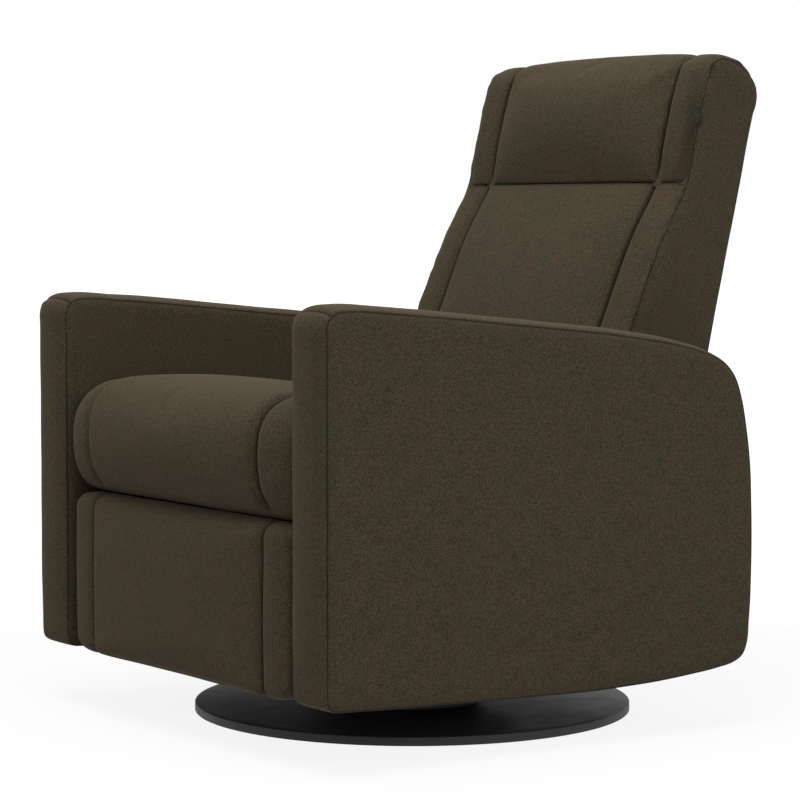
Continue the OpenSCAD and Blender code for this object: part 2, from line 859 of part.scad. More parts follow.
// Bell crank: the cable pulls its long arm and its short arm frees the latch
module latch_lever() {
    x0 = latch_x + lever_t + side_gap / 2;
    x1 = x0 + lever_t;
    half = lever_w / 2;
    color(steel)
    difference() {
        union() {
            x_bar(x0, x1, lever_eye_d, lever_y, lever_z);
            box([x0, lever_y - half, lever_z - lever_drop], [x1, lever_y + half, lever_z]);
            box([x0, lever_y, lever_z - half], [x1, lever_y + lever_reach, lever_z + half]);
        }
        x_bar(x0 - over, x1 + over, lever_pin_d + 2 * run_fit, lever_y, lever_z);
    }
}

// Seat: side plates on rollers, a wooden frame, webbing, foam core and sewn cushion
module side_plates() {
    low = track_z - track_half;
    edge = rail_top - head_w;
    eye = bracket_eye;
    x0 = plate_x - over;
    x1 = plate_x + plate_t + over;
    riveted = foot_pin_d + 2 * pin_fit;
    color(zinc)
    for (s = [-1, 1]) side(s) difference() {
        yz_plate(plate_x, plate_t) polygon([
            [drive_y - plate_nose, drive_z - plate_nose], [drive_y - plate_nose, drive_z + plate_nose],
            [drive_y + plate_nose, edge], [seat_frame_rear, edge],
            [recline_y - eye, recline_z + eye], [recline_y + eye, recline_z + eye],
            [recline_y + eye, recline_z - eye], [seat_frame_rear + plate_nose, seat_frame_z - head_w],
            [seat_frame_rear - seat_rail_h, low], [drive_y + plate_nose, low]
        ]);
        for (y = roller_ys) x_bar(x0, x1, riveted, y, track_z);
        x_bar(x0, x1, riveted, drive_y, drive_z);
        x_bar(x0, x1, recline_pin_d + 2 * pin_fit, recline_y, recline_z);
    }
}

// Rollers with their riveted axles
module seat_rollers() {
    color(web_black)
    for (s = [-1, 1], y = roller_ys) side(s) {
        x_bar(plate_x - foot_pin_head, plate_x, foot_pin_head_d, y, track_z);
        headed_pin(plate_x, track_x, foot_pin_d, roller_d, roller_w, y, track_z);
    }
}

// A pin riveted in a side plate, with a plate that turns on it inside
module plate_pin(x0, t, d, head, y, z) {
    x_bar(x0 - bearing_play - foot_pin_head, x0 - bearing_play, head, y, z);
    x_bar(x0 + t + bearing_play, plate_x, head, y, z);
    headed_pin(x0 - bearing_play, plate_x + plate_t, d, head, foot_pin_head, y, z);
}

// Pins of the footrest's drive links and of the recline hinge
module seat_pivot_pins() {
    color(steel)
    for (s = [-1, 1]) side(s) {
        plate_pin(drive_x, foot_link_t, foot_pin_d, foot_pin_head_d, drive_y, drive_z);
        plate_pin(back_bracket_x, bracket_t, recline_pin_d, recline_head_d, recline_y, recline_z);
    }
}

module seat_side_rails() {
    color(plywood)
    for (s = [-1, 1]) side(s)
        box([seat_side_x, seat_frame_front, seat_frame_z], [plate_x, seat_frame_rear, rail_top]);
}

module seat_end_rail(y) {
    color(plywood)
    box([-seat_side_x, y, seat_frame_z], [seat_side_x, y + seat_rail_t, rail_top]);
}

// Elastic webbing from the front rail to the rear rail, stapled on top of both
module seat_webbing() {
    pitch = 2 * seat_side_x / web_count;
    color(web_black)
    for (i = [0:web_count - 1]) translate([(i + 0.5) * pitch - seat_side_x, 0, 0])
        box([-web_w / 2, seat_frame_front + seat_rail_t, rail_top - web_t],
            [web_w / 2, seat_frame_rear - seat_rail_t, rail_top]);
}

module seat_foam() {
    color(foam)
    box([-foam_half_w, foam_front, seat_z], [foam_half_w, foam_rear, seat_z + foam_h]);
}

// One section of the seat cushion at x: bull-nose front, gently falling top, round rear, flat underside
nose_steps = 20;
top_steps = 6;
rear_steps = 4;
nose_power = 0.8;
function seat_ring(x) =
    let (
        t = max(0, (abs(x) - seat_seam_x) / (seat_half_w - seat_seam_x)),
        seam = seam_depth * (1 - groove(abs(x) - seat_seam_x, seam_depth)),
        pull = side_draw * drawn_in(t, 2.2),
        bulge = seat_crown * (1 - pow(min(1, abs(x) / seat_seam_x), 2) + 0.35 * sin(180 * t)),
        top = seat_z + seat_h + bulge + seam - pull,
        half = (top - seat_z) / 2,
        nose_y = nose_depth - seat_front,
        deep = nose_depth + 1.3 * bulge + 0.8 * (seam - pull),
        end_y = seat_rear - rear_round
    )
    concat(
        [for (i = [0:nose_steps])
            let (a = 180 * i / nose_steps - 90, c = pow(cos(a), nose_power), q = pow(abs(sin(a)), nose_power))
            [x, nose_y - deep * c, seat_z + half + half * sign(a) * q]],
        [for (i = [1:top_steps])
            let (u = i / top_steps)
            [x, nose_y + (end_y - nose_y) * u, top - rear_fall * u * u]],
        [for (i = [1:rear_steps])
            let (a = 90 * i / rear_steps)
            [x, end_y + rear_round * sin(a), top - rear_fall - rear_round * (1 - cos(a))]],
        [for (k = [0, 1, 2, 3]) [x, seat_rear + (nose_y - seat_rear) * k / 4, seat_z]]
    );

module seat_cushion() {
    color(fabric)
    difference() {
        loft([for (x = mirrored(half_stations(seat_seam_x, seat_half_w))) seat_ring(x)]);
        box([-foam_half_w - pad_gap, foam_front - pad_gap, seat_z - over],
            [foam_half_w + pad_gap, foam_rear + pad_gap, seat_z + foam_h + pad_gap]);
    }
}

// Back: everything is drawn in the back's own axes and leaned about the recline axis
module on_back() {
    translate([0, recline_y, recline_z]) rotate([-back_lean, 0, 0]) children();
}

module back_brackets() {
    x0 = back_bracket_x - over;
    x1 = back_bracket_x + bracket_t + over;
    rear = stile_n + stile_depth;
    color(zinc)
    for (s = [-1, 1]) side(s) difference() {
        on_back() yz_plate(back_bracket_x, bracket_t) polygon([
            [-bracket_eye, -bracket_eye], [bracket_eye, -bracket_eye], [rear, stile_foot],
            [rear, bracket_reach], [stile_n, bracket_reach], [stile_n, stile_foot],
            [-bracket_eye, bracket_eye]
        ]);
        x_bar(x0, x1, recline_pin_d + 2 * run_fit, recline_y, recline_z);
    }
}

module back_stiles() {
    color(plywood)
    for (s = [-1, 1]) side(s) on_back()
        box([stile_x, stile_n, stile_foot], [back_bracket_x, stile_n + stile_depth, back_len - stile_top]);
}

module back_rail(v) {
    color(plywood)
    on_back() box([-stile_x, stile_n, v], [stile_x, stile_n + stile_depth, v + stile_depth]);
}

// Room that the frame takes inside the shell
module back_frame_room() {
    x0 = stile_x - pad_gap;
    rear = stile_n + stile_depth + pad_gap;
    top = back_len - stile_top + pad_gap;
    for (s = [-1, 1]) side(s) {
        box([x0, 0, pad_foot - over], [back_bracket_x + pad_gap, rear, top]);
        box([x0, 0, pad_foot - over], [back_bracket_x + bracket_t + pad_gap, rear, bracket_reach + pad_gap]);
    }
    for (v = [stile_foot, back_len - stile_top - stile_depth])
        box([-x0 - over, 0, v - pad_gap], [x0 + over, rear, v + stile_depth + pad_gap]);
}

module back_shell() {
    half = back_half_w;
    flat_half = half - shell_soft;
    front = parting_n + pad_gap;
    shoulder = back_len - top_roll;
    skirt_in = back_rear - skirt_t;
    color(fabric)
    on_back() union() {
        difference() {
            hull() {
                box([-half, front, pad_foot], [half, back_rear - shell_soft, shoulder]);
                box([-flat_half, front, pad_foot], [flat_half, back_rear, shoulder]);
                box([-flat_half, front, pad_foot], [flat_half, back_rear - shell_soft, back_len - shell_soft]);
                box([-half + top_roll, front, pad_foot], [half - top_roll, back_rear - top_roll, back_len]);
            }
            back_frame_room();
        }
        hull() {
            box([-half, skirt_in, skirt_foot], [half, back_rear - shell_soft, pad_foot]);
            box([-flat_half, skirt_in, skirt_foot], [flat_half, back_rear, pad_foot]);
        }
    }
}

// How far the front of the back stands before the recline axis, at x and height v
function back_front(x, v, v0, v1) =
    let (
        t = max(0, (abs(x) - back_seam_x) / (back_half_w - back_seam_x)),
        u = (2 * v - v0 - v1) / (v1 - v0),
        puff = sqrt(max(0, 1 - pow(u, 4))),
        middle = back_crown * (1 - pow(min(1, abs(x) / back_seam_x), 2.6)),
        wing = back_crown * 0.25 * sin(180 * t)
    )
    lumbar_depth * lookup(v / back_len, back_depth_shares)
        + puff * (middle + wing) - wing_draw * drawn_in(t, 3)
        - seam_depth * (groove(abs(x) - back_seam_x, seam_depth) + 1 - puff);

// One section of a back pad at x, from v0 up to v1, flat on the parting plane
pad_steps = 15;
function back_ring(x, v0, v1, roll) =
    let (
        t = max(0, (abs(x) - back_seam_x) / (back_half_w - back_seam_x)),
        high = v1 - roll * 0.5 * drawn_in(t, 3)
    )
    concat(
        [for (i = [0:pad_steps])
            let (
                v = v0 + (high - v0) * (1 - cos(180 * i / pad_steps)) / 2,
                rolled = roll > 0 ? roll * drawn_in(max(0, (v - v1) / roll + 1), 2) : 0
            )
            [x, rolled - back_front(x, v, v0, v1), v]],
        [for (k = [0, 1, 2]) [x, parting_n, high + (v0 - high) * k / 2]]
    );

module back_pad(v0, v1, roll) {
    color(fabric)
    on_back() loft([for (x = mirrored(half_stations(back_seam_x, back_half_w))) back_ring(x, v0, v1, roll)]);
}

// Footrest: drive links on the seat plates, lift links, brackets, board and pad
// A flat link from [y0, z0] to [y1, z1] with a hole of its own size at each end
module foot_link(x0, y0, z0, y1, z1, hole0, hole1) {
    length = norm([y1 - y0, z1 - z0]);
    difference() {
        translate([x0, y0, z0]) rotate([atan2(z1 - z0, y1 - y0), 0, 0]) {
            for (y = [0, length]) x_bar(0, foot_link_t, foot_link_w, y, 0);
            box([0, 0, -foot_link_w / 2], [foot_link_t, length, foot_link_w / 2]);
        }
        x_bar(x0 - over, x0 + foot_link_t + over, hole0, y0, z0);
        x_bar(x0 - over, x0 + foot_link_t + over, hole1, y1, z1);
    }
}

// The drive link carries a tab for the tube that ties left and right together
module drive_link(s) {
    turning = foot_pin_d + 2 * run_fit;
    riveted = foot_pin_d + 2 * pin_fit;
    x1 = drive_x + foot_link_t;
    color(black_metal)
    side(s) difference() {
        union() {
            foot_link(drive_x, drive_y, drive_z, elbow_y, elbow_z, turning, riveted);
            x_bar(drive_x, x1, tab_d, drive_tube_y, drive_tube_z);
            box([drive_x, drive_tube_y - drive_tube_offset, drive_tube_z - tab_d / 2],
                [x1, drive_tube_y, drive_tube_z + tab_d / 2]);
        }
        x_bar(drive_x - over, x1 + over, drive_tube_d + 2 * pin_fit, drive_tube_y, drive_tube_z);
    }
}

module drive_tube() {
    half = drive_x + foot_link_t;
    color(black_metal)
    difference() {
        x_bar(-half, half, drive_tube_d, drive_tube_y, drive_tube_z);
        x_bar(-half - over, half + over, drive_tube_d - 2 * drive_tube_wall, drive_tube_y, drive_tube_z);
    }
}

// Rivets that join the two links at each elbow
module elbow_pins() {
    low = lift_x - bearing_play;
    high = drive_x + foot_link_t;
    color(steel)
    for (s = [-1, 1]) side(s) {
        x_bar(low - foot_pin_head, low, foot_pin_head_d, elbow_y, elbow_z);
        headed_pin(low, high, foot_pin_d, foot_pin_head_d, foot_pin_head, elbow_y, elbow_z);
    }
}

module lift_links() {
    turning = foot_pin_d + 2 * run_fit;
    riveted = foot_pin_d + 2 * pin_fit;
    color(black_metal)
    for (s = [-1, 1]) side(s)
        foot_link(lift_x, elbow_y, elbow_z, foot_y, foot_pivot_z, turning, riveted);
}

// Rivets that carry the footrest's brackets
module footrest_pins() {
    low = foot_bracket_x - bearing_play;
    high = lift_x + foot_link_t;
    color(steel)
    for (s = [-1, 1]) side(s) {
        x_bar(low - foot_pin_head, low, foot_pin_head_d, foot_y, foot_pivot_z);
        headed_pin(low, high, foot_pin_d, foot_pin_head_d, foot_pin_head, foot_y, foot_pivot_z);
    }
}

// Angle brackets: an eye on the lift link and a flange on the back of the board
module footrest_brackets() {
    eye = foot_link_w / 2;
    outer = foot_bracket_x + foot_link_t;
    top = foot_pivot_z + eye;
    low = top - foot_flange_h;
    color(black_metal)
    for (s = [-1, 1]) side(s) difference() {
        union() {
            x_bar(foot_bracket_x, outer, foot_link_w, foot_y, foot_pivot_z);
            yz_plate(foot_bracket_x, foot_link_t) polygon([
                [board_back, low], [board_back, top], [foot_y, top], [foot_y, foot_pivot_z - eye]
            ]);
            box([outer - foot_flange_w, board_back, low], [outer, board_back + foot_flange_t, top]);
        }
        x_bar(foot_bracket_x - over, outer + over, foot_pin_d + 2 * run_fit, foot_y, foot_pivot_z);
    }
}

module footrest_board() {
    color(plywood)
    box([-foot_half_w + board_margin, board_y, foot_z + board_margin],
        [foot_half_w - board_margin, board_back, foot_z + foot_h - board_margin]);
}

// One section of the footrest pad at x: a rounded slab, flat on its board
foot_steps = 7;
face_steps = 5;
function foot_ring(x) =
    let (
        t = max(0, (abs(x) - foot_seam_x) / (foot_half_w - foot_seam_x)),
        draw = drawn_in(t, 3.2),
        seam = seam_depth * 0.7 * (1 - groove(abs(x) - foot_seam_x, seam_depth)),
        bulge = foot_crown * (1 - pow(min(1, abs(x) / foot_seam_x), 2.5)),
        z0 = foot_z + foot_draw_low * draw,
        z1 = foot_z + foot_h - foot_draw_high * draw,
        front = foot_draw_front * draw - foot_front - bulge - seam,
        flat_h = z1 - z0 - 2 * foot_corner
    )
    concat(
        [for (i = [0:foot_steps])
            let (a = 90 * i / foot_steps)
            [x, front + foot_corner * (1 - sin(a)), z0 + foot_corner * (1 - cos(a))]],
        [for (i = [1:face_steps - 1])
            let (u = i / face_steps)
            [x, front - foot_crown * 0.5 * sin(180 * u), z0 + foot_corner + flat_h * u]],
        [for (i = [0:foot_steps])
            let (a = 90 * i / foot_steps)
            [x, front + foot_corner * (1 - cos(a)), z1 - foot_corner * (1 - sin(a))]],
        [for (k = [0, 1, 2]) [x, board_y, z1 + (z0 - z1) * k / 2]]
    );

module footrest_cushion() {
    color(fabric)
    loft([for (x = mirrored(half_stations(foot_seam_x, foot_half_w))) foot_ring(x)]);
}

base_cover();
base_core();
floor_ring();
race(base_h, pin_fit);  // lower_race
bearing_balls();
pivot_bolt();
race(upper_race_z, run_fit);  // upper_race
cradle_plate();
cradle_sides();
hanger_pins();
glide_link(1, 1);  // rear_link_left
glide_link(-1, 1);  // rear_link_right
link_bearings(1);  // rear_link_bearings
glide_link(1, -1);  // front_link_left
glide_link(-1, -1);  // front_link_right
link_bearings(-1);  // front_link_bearings
rail(1);  // rail_left
rail(-1);  // rail_right
carrier_pins();
cross_tube(-front_tube_y);  // front_cross_tube
cross_tube(rear_tube_y);  // rear_cross_tube
arm_bolts();
arm_panel(1);  // arm_panel_left
arm_panel(-1);  // arm_panel_right
arm_cover(1);  // arm_cover_left
arm_cover(-1);  // arm_cover_right
rear_board();
rear_cover();
seat_tracks();
track_screws();
release_bezel();
release_cable();
latch_bracket();
release_paddle();
latch_lever();
side_plates();
seat_rollers();
seat_pivot_pins();
seat_end_rail(seat_frame_front);  // seat_front_rail
seat_end_rail(seat_frame_rear - seat_rail_t);  // seat_rear_rail
seat_side_rails();
seat_webbing();
seat_foam();
seat_cushion();
back_brackets();
back_stiles();
back_rail(back_len - stile_top - stile_depth);  // back_top_rail
back_rail(stile_foot);  // back_bottom_rail
back_shell();
back_pad(pad_foot, head_seam - pad_gap, 0);  // lumbar_cushion
back_pad(head_seam, back_len, head_roll);  // headrest_cushion
drive_link(1);  // drive_link_left
drive_link(-1);  // drive_link_right
drive_tube();
elbow_pins();
lift_links();
footrest_pins();
footrest_brackets();
footrest_board();
footrest_cushion();
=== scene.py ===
import bpy
import bmesh
import json
import math
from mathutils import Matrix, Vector, noise


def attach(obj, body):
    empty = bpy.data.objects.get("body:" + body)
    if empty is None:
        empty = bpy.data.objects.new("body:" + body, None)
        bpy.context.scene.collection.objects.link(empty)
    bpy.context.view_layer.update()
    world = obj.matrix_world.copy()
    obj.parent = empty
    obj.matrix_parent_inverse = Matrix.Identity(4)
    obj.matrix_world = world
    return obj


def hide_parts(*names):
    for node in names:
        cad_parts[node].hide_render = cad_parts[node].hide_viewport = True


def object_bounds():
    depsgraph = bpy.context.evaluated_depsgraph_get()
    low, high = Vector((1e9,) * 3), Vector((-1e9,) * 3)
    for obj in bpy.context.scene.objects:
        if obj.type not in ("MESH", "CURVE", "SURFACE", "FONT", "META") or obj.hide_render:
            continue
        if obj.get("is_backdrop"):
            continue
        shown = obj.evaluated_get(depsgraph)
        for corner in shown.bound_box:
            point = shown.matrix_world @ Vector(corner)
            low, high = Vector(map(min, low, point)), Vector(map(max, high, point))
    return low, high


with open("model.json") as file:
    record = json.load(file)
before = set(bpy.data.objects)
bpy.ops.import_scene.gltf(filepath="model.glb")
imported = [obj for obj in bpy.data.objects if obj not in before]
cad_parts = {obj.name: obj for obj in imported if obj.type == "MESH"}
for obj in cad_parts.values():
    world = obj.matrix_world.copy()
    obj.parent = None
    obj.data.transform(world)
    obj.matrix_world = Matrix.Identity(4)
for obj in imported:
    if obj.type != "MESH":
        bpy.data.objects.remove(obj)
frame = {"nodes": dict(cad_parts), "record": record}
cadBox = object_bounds()
scene = bpy.context.scene
mm = 0.001


# camera at the photograph's viewpoint
camera = {
    "place": (3.37606, -2.35985, 0.71363),
    "turn": (86.295, 0, 55.29),  # degrees
    "lens": 129.19,
    "sensor": 36,
}
cameraData = bpy.data.cameras.new("camera")
cameraData.lens = camera["lens"]
cameraData.sensor_width = camera["sensor"]
cameraData.clip_end = 60
cameraObject = bpy.data.objects.new("camera", cameraData)
scene.collection.objects.link(cameraObject)
cameraObject.location = camera["place"]
cameraObject.rotation_euler = [math.radians(a) for a in camera["turn"]]
scene.camera = cameraObject
print("camera placed")


# small helpers for nodes and meshes
def srgb(hexCode):
    parts = [int(hexCode[i:i + 2], 16) / 255 for i in (1, 3, 5)]
    return (*[c / 12.92 if c <= 0.04045 else ((c + 0.055) / 1.055) ** 2.4 for c in parts], 1)


def addNode(tree, kind, settings=None, values=None, links=None, feeds=None):
    # links: input name to (node, output); feeds: output to (node, input name)
    node = tree.nodes.new(kind)
    for name, value in (settings or {}).items():
        setattr(node, name, value)
    for name, value in (values or {}).items():
        node.inputs[name].default_value = value
    for name, (source, output) in (links or {}).items():
        tree.links.new(source.outputs[output], node.inputs[name])
    for output, (target, name) in (feeds or {}).items():
        tree.links.new(node.outputs[output], target.inputs[name])
    return node


def newMaterial(name, values):
    material = bpy.data.materials.new(name)
    material.use_nodes = True
    tree = material.node_tree
    shader = tree.nodes["Principled BSDF"]
    for socket, value in values.items():
        shader.inputs[socket].default_value = value
    # the last one links a node's Vector input to the object's own coordinates
    return material, tree, shader, {"Vector": (addNode(tree, "ShaderNodeTexCoord"), "Object")}


def perMetre(sizeMm):
    return 1000 / sizeMm  # texture scale for a pattern that repeats every sizeMm


# a Mix node of colours has them on inputs 6 and 7, and its result on output 2
colourMix = {"data_type": "RGBA"}


def mapGrid(columns, rows, place, shadeAt=None):
    # a closed band of rings: each vertex goes where place says, by column and row
    bm = bmesh.new()
    bmesh.ops.create_grid(bm, x_segments=len(columns) - 1, y_segments=len(rows) - 1, size=1)
    # a layer of painted shade for the seams, which shadeAt fills where it is given
    shade = bm.verts.layers.float.new("paintedSeamShade")
    for v in bm.verts:
        i = round((v.co.x + 1) / 2 * (len(columns) - 1))
        j = round((v.co.y + 1) / 2 * (len(rows) - 1))
        v[shade] = shadeAt(columns[i], rows[j]) if shadeAt else 0
        v.co = place(columns[i], rows[j])
    bmesh.ops.remove_doubles(bm, verts=bm.verts, dist=0.00002)
    bmesh.ops.recalc_face_normals(bm, faces=bm.faces)
    return bm


def closeEnds(piece, insets):
    # closes the open ends with stepped caps, and runs after the subdivision
    bm = bmesh.new()
    bm.from_mesh(piece.data)
    caps = bmesh.ops.holes_fill(bm, edges=[e for e in bm.edges if e.is_boundary], sides=0)["faces"]
    for thickness, depth in insets:
        bmesh.ops.inset_region(bm, faces=caps, thickness=thickness * mm, depth=depth * mm,
                               use_even_offset=False)
    bmesh.ops.recalc_face_normals(bm, faces=bm.faces)
    bm.to_mesh(piece.data)
    bm.free()


def toPiece(bm, name, material):
    mesh = bpy.data.meshes.new(name)
    bm.to_mesh(mesh)
    bm.free()
    mesh.materials.append(material)
    for face in mesh.polygons:
        face.use_smooth = True
    piece = bpy.data.objects.new(name, mesh)
    scene.collection.objects.link(piece)
    return piece


def applyModifiers(piece):
    depsgraph = bpy.context.evaluated_depsgraph_get()
    mesh = bpy.data.meshes.new_from_object(piece.evaluated_get(depsgraph))
    piece.modifiers.clear()
    piece.data = mesh


def subdivide(piece):
    step = piece.modifiers.new("subdivision", "SUBSURF")
    step.levels = step.render_levels = 1
    applyModifiers(piece)


def drawnIn(t, power):
    return 1 - max(0, 1 - t ** power) ** (1 / power)


def groove(distance, width):
    return math.exp(-(distance / width) ** 2)


def proudOf(x, seamX, height, riseMm=8):
    # a centre panel stands a little above the wings that it is sewn to
    return height * (1 - groove(seamX - abs(x), riseMm)) if abs(x) < seamX else 0


def lookup(x, table):
    for (x0, y0), (x1, y1) in zip(table, table[1:]):
        if x <= x1:
            return y0 + (y1 - y0) * max(0, x - x0) / (x1 - x0)
    return table[-1][1]


def wander(point, sizeMm, seed=0):
    # smooth noise from -1 to 1 that changes over sizeMm
    return noise.noise(point * perMetre(sizeMm) + Vector((seed, seed * 1.7, 0)))


def stations(stops, step):
    # values from the first stop to the last, no further apart than step
    out = [stops[0]]
    for a, b in zip(stops, stops[1:]):
        count = max(1, math.ceil(abs(b - a) / step - 1e-6))
        out += [a + (b - a) * k / count for k in range(1, count + 1)]
    return out


# brushed wool felt, piece-dyed melange: matt and soft, brown and olive fibres that blur into patches
wool = {
    # seam is the colour of the painted shade in the seams' creases and between the pads
    "brown": "#47392e", "olive": "#363a2a", "light": "#74664f", "dark": "#1b1a12", "seam": "#0c0b08",
    "patchMm": 38, "fleckMm": 1.7, "fibreMm": 1.4,  # the real fibres are finer and drawn coarser to show
    "fleckShare": 0.54, "fibreDeep": 0.55, "fleckDeep": 0.5,
}
woolFelt, tree, shader, coords = newMaterial("brushed wool felt", {
    "Roughness": 0.92, "Specular IOR Level": 0.18, "Sheen Weight": 0.22, "Sheen Roughness": 0.45,
    "Sheen Tint": srgb("#a08c6c"),
})
patches = addNode(tree, "ShaderNodeTexNoise", values={"Scale": perMetre(wool["patchMm"]), "Detail": 3.0,
                  "Roughness": 0.65}, links=coords)
patchRamp = addNode(tree, "ShaderNodeMapRange", values={"From Min": 0.38, "From Max": 0.62},
                    links={"Value": (patches, 0)})
flecks = addNode(tree, "ShaderNodeTexNoise", values={"Scale": perMetre(wool["fleckMm"]), "Detail": 4.0,
                 "Roughness": 0.75}, links=coords)
fleckRamp = addNode(tree, "ShaderNodeMapRange", values={"From Min": 0.4, "From Max": 0.64},
                    links={"Value": (flecks, 0)})
fibres = addNode(tree, "ShaderNodeTexNoise", values={"Scale": perMetre(wool["fibreMm"]), "Detail": 2.0,
                 "Roughness": 0.6}, links=coords)
melange = addNode(tree, "ShaderNodeMix", colourMix, {6: srgb(wool["brown"]), 7: srgb(wool["olive"])},
                  {0: (patchRamp, 0)})
flecked = addNode(tree, "ShaderNodeMix", colourMix, {6: srgb(wool["dark"]), 7: srgb(wool["light"])},
                  {0: (fleckRamp, 0)})
soft = addNode(tree, "ShaderNodeMix", colourMix, {0: wool["fleckShare"]}, {6: (melange, 2), 7: (flecked, 2)})
# painted shade: the seam attribute darkens the wool toward the seam colour, where shade falls in the seams'
# creases and between the pads
paintedShadeMask = addNode(tree, "ShaderNodeAttribute", {"attribute_name": "paintedSeamShade"})
addNode(tree, "ShaderNodeMix", colourMix, {7: srgb(wool["seam"])}, {0: (paintedShadeMask, "Fac"), 6: (soft, 2)},
        {2: (shader, "Base Color")})
nap = addNode(tree, "ShaderNodeBump", values={"Strength": 0.7, "Distance": wool["fibreDeep"] * mm},
              links={"Height": (fibres, 0)})
addNode(tree, "ShaderNodeBump", values={"Strength": 0.5, "Distance": wool["fleckDeep"] * mm},
        links={"Height": (flecks, 0), "Normal": (nap, 0)}, feeds={0: (shader, "Normal")})
print("wool felt mixed")


# hidden and metal finishes, by the record's slots
def paintedSteel():
    # mild steel with a black powder coat: satin, with a faint orange peel
    material, tree, shader, coords = newMaterial("powder-coated steel", {
        "Base Color": srgb("#2f2f30"), "Specular IOR Level": 0.35})
    peel = addNode(tree, "ShaderNodeTexNoise", values={"Scale": perMetre(1.8), "Detail": 2.0}, links=coords)
    addNode(tree, "ShaderNodeBump", values={"Strength": 0.35, "Distance": 0.12 * mm},
            links={"Height": (peel, 0)}, feeds={0: (shader, "Normal")})
    wear = addNode(tree, "ShaderNodeTexNoise", values={"Scale": perMetre(40), "Detail": 4.0}, links=coords)
    addNode(tree, "ShaderNodeMapRange", values={"From Min": 0.3, "From Max": 0.7, "To Min": 0.5,
            "To Max": 0.58}, links={"Value": (wear, 0)}, feeds={0: (shader, "Roughness")})
    return material


def platedSteel(name, light, dark, roughness, grainMm):
    # bare metal: blotched plating or turned bar, with a fine grain
    material, tree, shader, coords = newMaterial(name, {"Metallic": 1.0, "Roughness": roughness})
    bloom = addNode(tree, "ShaderNodeTexNoise", values={"Scale": perMetre(22), "Detail": 5.0}, links=coords)
    addNode(tree, "ShaderNodeMix", colourMix, {6: srgb(dark), 7: srgb(light)}, {0: (bloom, 0)},
            {2: (shader, "Base Color")})
    grain = addNode(tree, "ShaderNodeTexNoise", values={"Scale": perMetre(grainMm), "Detail": 2.0},
                    links=coords)
    addNode(tree, "ShaderNodeBump", values={"Strength": 0.3, "Distance": 0.05 * mm},
            links={"Height": (grain, 0)}, feeds={0: (shader, "Normal")})
    return material


def birchPly():
    # rotary-cut birch plywood, unfinished: pale, with long faint grain
    material, tree, shader, coords = newMaterial("birch plywood", {"Roughness": 0.7})
    stretch = addNode(tree, "ShaderNodeMapping", values={"Scale": (1.0, 0.12, 1.0)}, links=coords)
    grain = addNode(tree, "ShaderNodeTexNoise", values={"Scale": perMetre(6), "Detail": 6.0, "Roughness": 0.6,
                    "Distortion": 0.6}, links={"Vector": (stretch, 0)})
    addNode(tree, "ShaderNodeMix", colourMix, {6: srgb("#b8925f"), 7: srgb("#dcc194")}, {0: (grain, 0)},
            {2: (shader, "Base Color")})
    addNode(tree, "ShaderNodeBump", values={"Strength": 0.4, "Distance": 0.15 * mm},
            links={"Height": (grain, 0)}, feeds={0: (shader, "Normal")})
    return material


def openFoam():
    # cut polyurethane foam: cream, matt, with open cells
    material, tree, shader, coords = newMaterial("cut polyurethane foam", {"Roughness": 0.95})
    cells = addNode(tree, "ShaderNodeTexVoronoi", values={"Scale": perMetre(3)}, links=coords)
    addNode(tree, "ShaderNodeMix", colourMix, {6: srgb("#d9cf9f"), 7: srgb("#efe8c4")}, {0: (cells, 0)},
            {2: (shader, "Base Color")})
    addNode(tree, "ShaderNodeBump", values={"Strength": 0.6, "Distance": 0.8 * mm},
            links={"Height": (cells, 0)}, feeds={0: (shader, "Normal")})
    return material


def pressedFelt():
    # pressed grey felt: short tangled fibres, no gloss
    material, tree, shader, coords = newMaterial("pressed felt", {"Roughness": 1.0, "Sheen Weight": 0.2})
    fluff = addNode(tree, "ShaderNodeTexNoise", values={"Scale": perMetre(1.5), "Detail": 4.0}, links=coords)
    addNode(tree, "ShaderNodeMix", colourMix, {6: srgb("#2b2b2b"), 7: srgb("#474645")}, {0: (fluff, 0)},
            {2: (shader, "Base Color")})
    addNode(tree, "ShaderNodeBump", values={"Strength": 0.7, "Distance": 0.4 * mm},
            links={"Height": (fluff, 0)}, feeds={0: (shader, "Normal")})
    return material


def wovenWebbing():
    # woven elastic webbing: ribs of rubber core under polypropylene yarn
    material, tree, shader, coords = newMaterial("woven elastic webbing", {"Roughness": 0.8})
    bands = 6.3  # light and dark bands of a wave texture in a metre at scale 1
    ribs = addNode(tree, "ShaderNodeTexWave", {"bands_direction": "X"}, {"Scale": perMetre(3.2) / bands},
                   coords)
    picks = addNode(tree, "ShaderNodeTexWave", {"bands_direction": "Y"}, {"Scale": perMetre(2.2) / bands},
                    coords)
    weave = addNode(tree, "ShaderNodeMath", {"operation": "MULTIPLY"}, links={0: (ribs, 1), 1: (picks, 1)})
    addNode(tree, "ShaderNodeMix", colourMix, {6: srgb("#1c1c1f"), 7: srgb("#3d3d42")}, {0: (weave, 0)},
            {2: (shader, "Base Color")})
    addNode(tree, "ShaderNodeBump", values={"Strength": 0.8, "Distance": 0.5 * mm},
            links={"Height": (weave, 0)}, feeds={0: (shader, "Normal")})
    return material


def mouldedNylon():
    # injection-moulded black nylon with a fine spark-eroded grain
    material, tree, shader, coords = newMaterial("moulded nylon", {
        "Base Color": srgb("#161617"), "Roughness": 0.5, "Specular IOR Level": 0.5})
    grain = addNode(tree, "ShaderNodeTexNoise", values={"Scale": perMetre(0.9), "Detail": 2.0}, links=coords)
    addNode(tree, "ShaderNodeBump", values={"Strength": 0.5, "Distance": 0.08 * mm},
            links={"Height": (grain, 0)}, feeds={0: (shader, "Normal")})
    return material


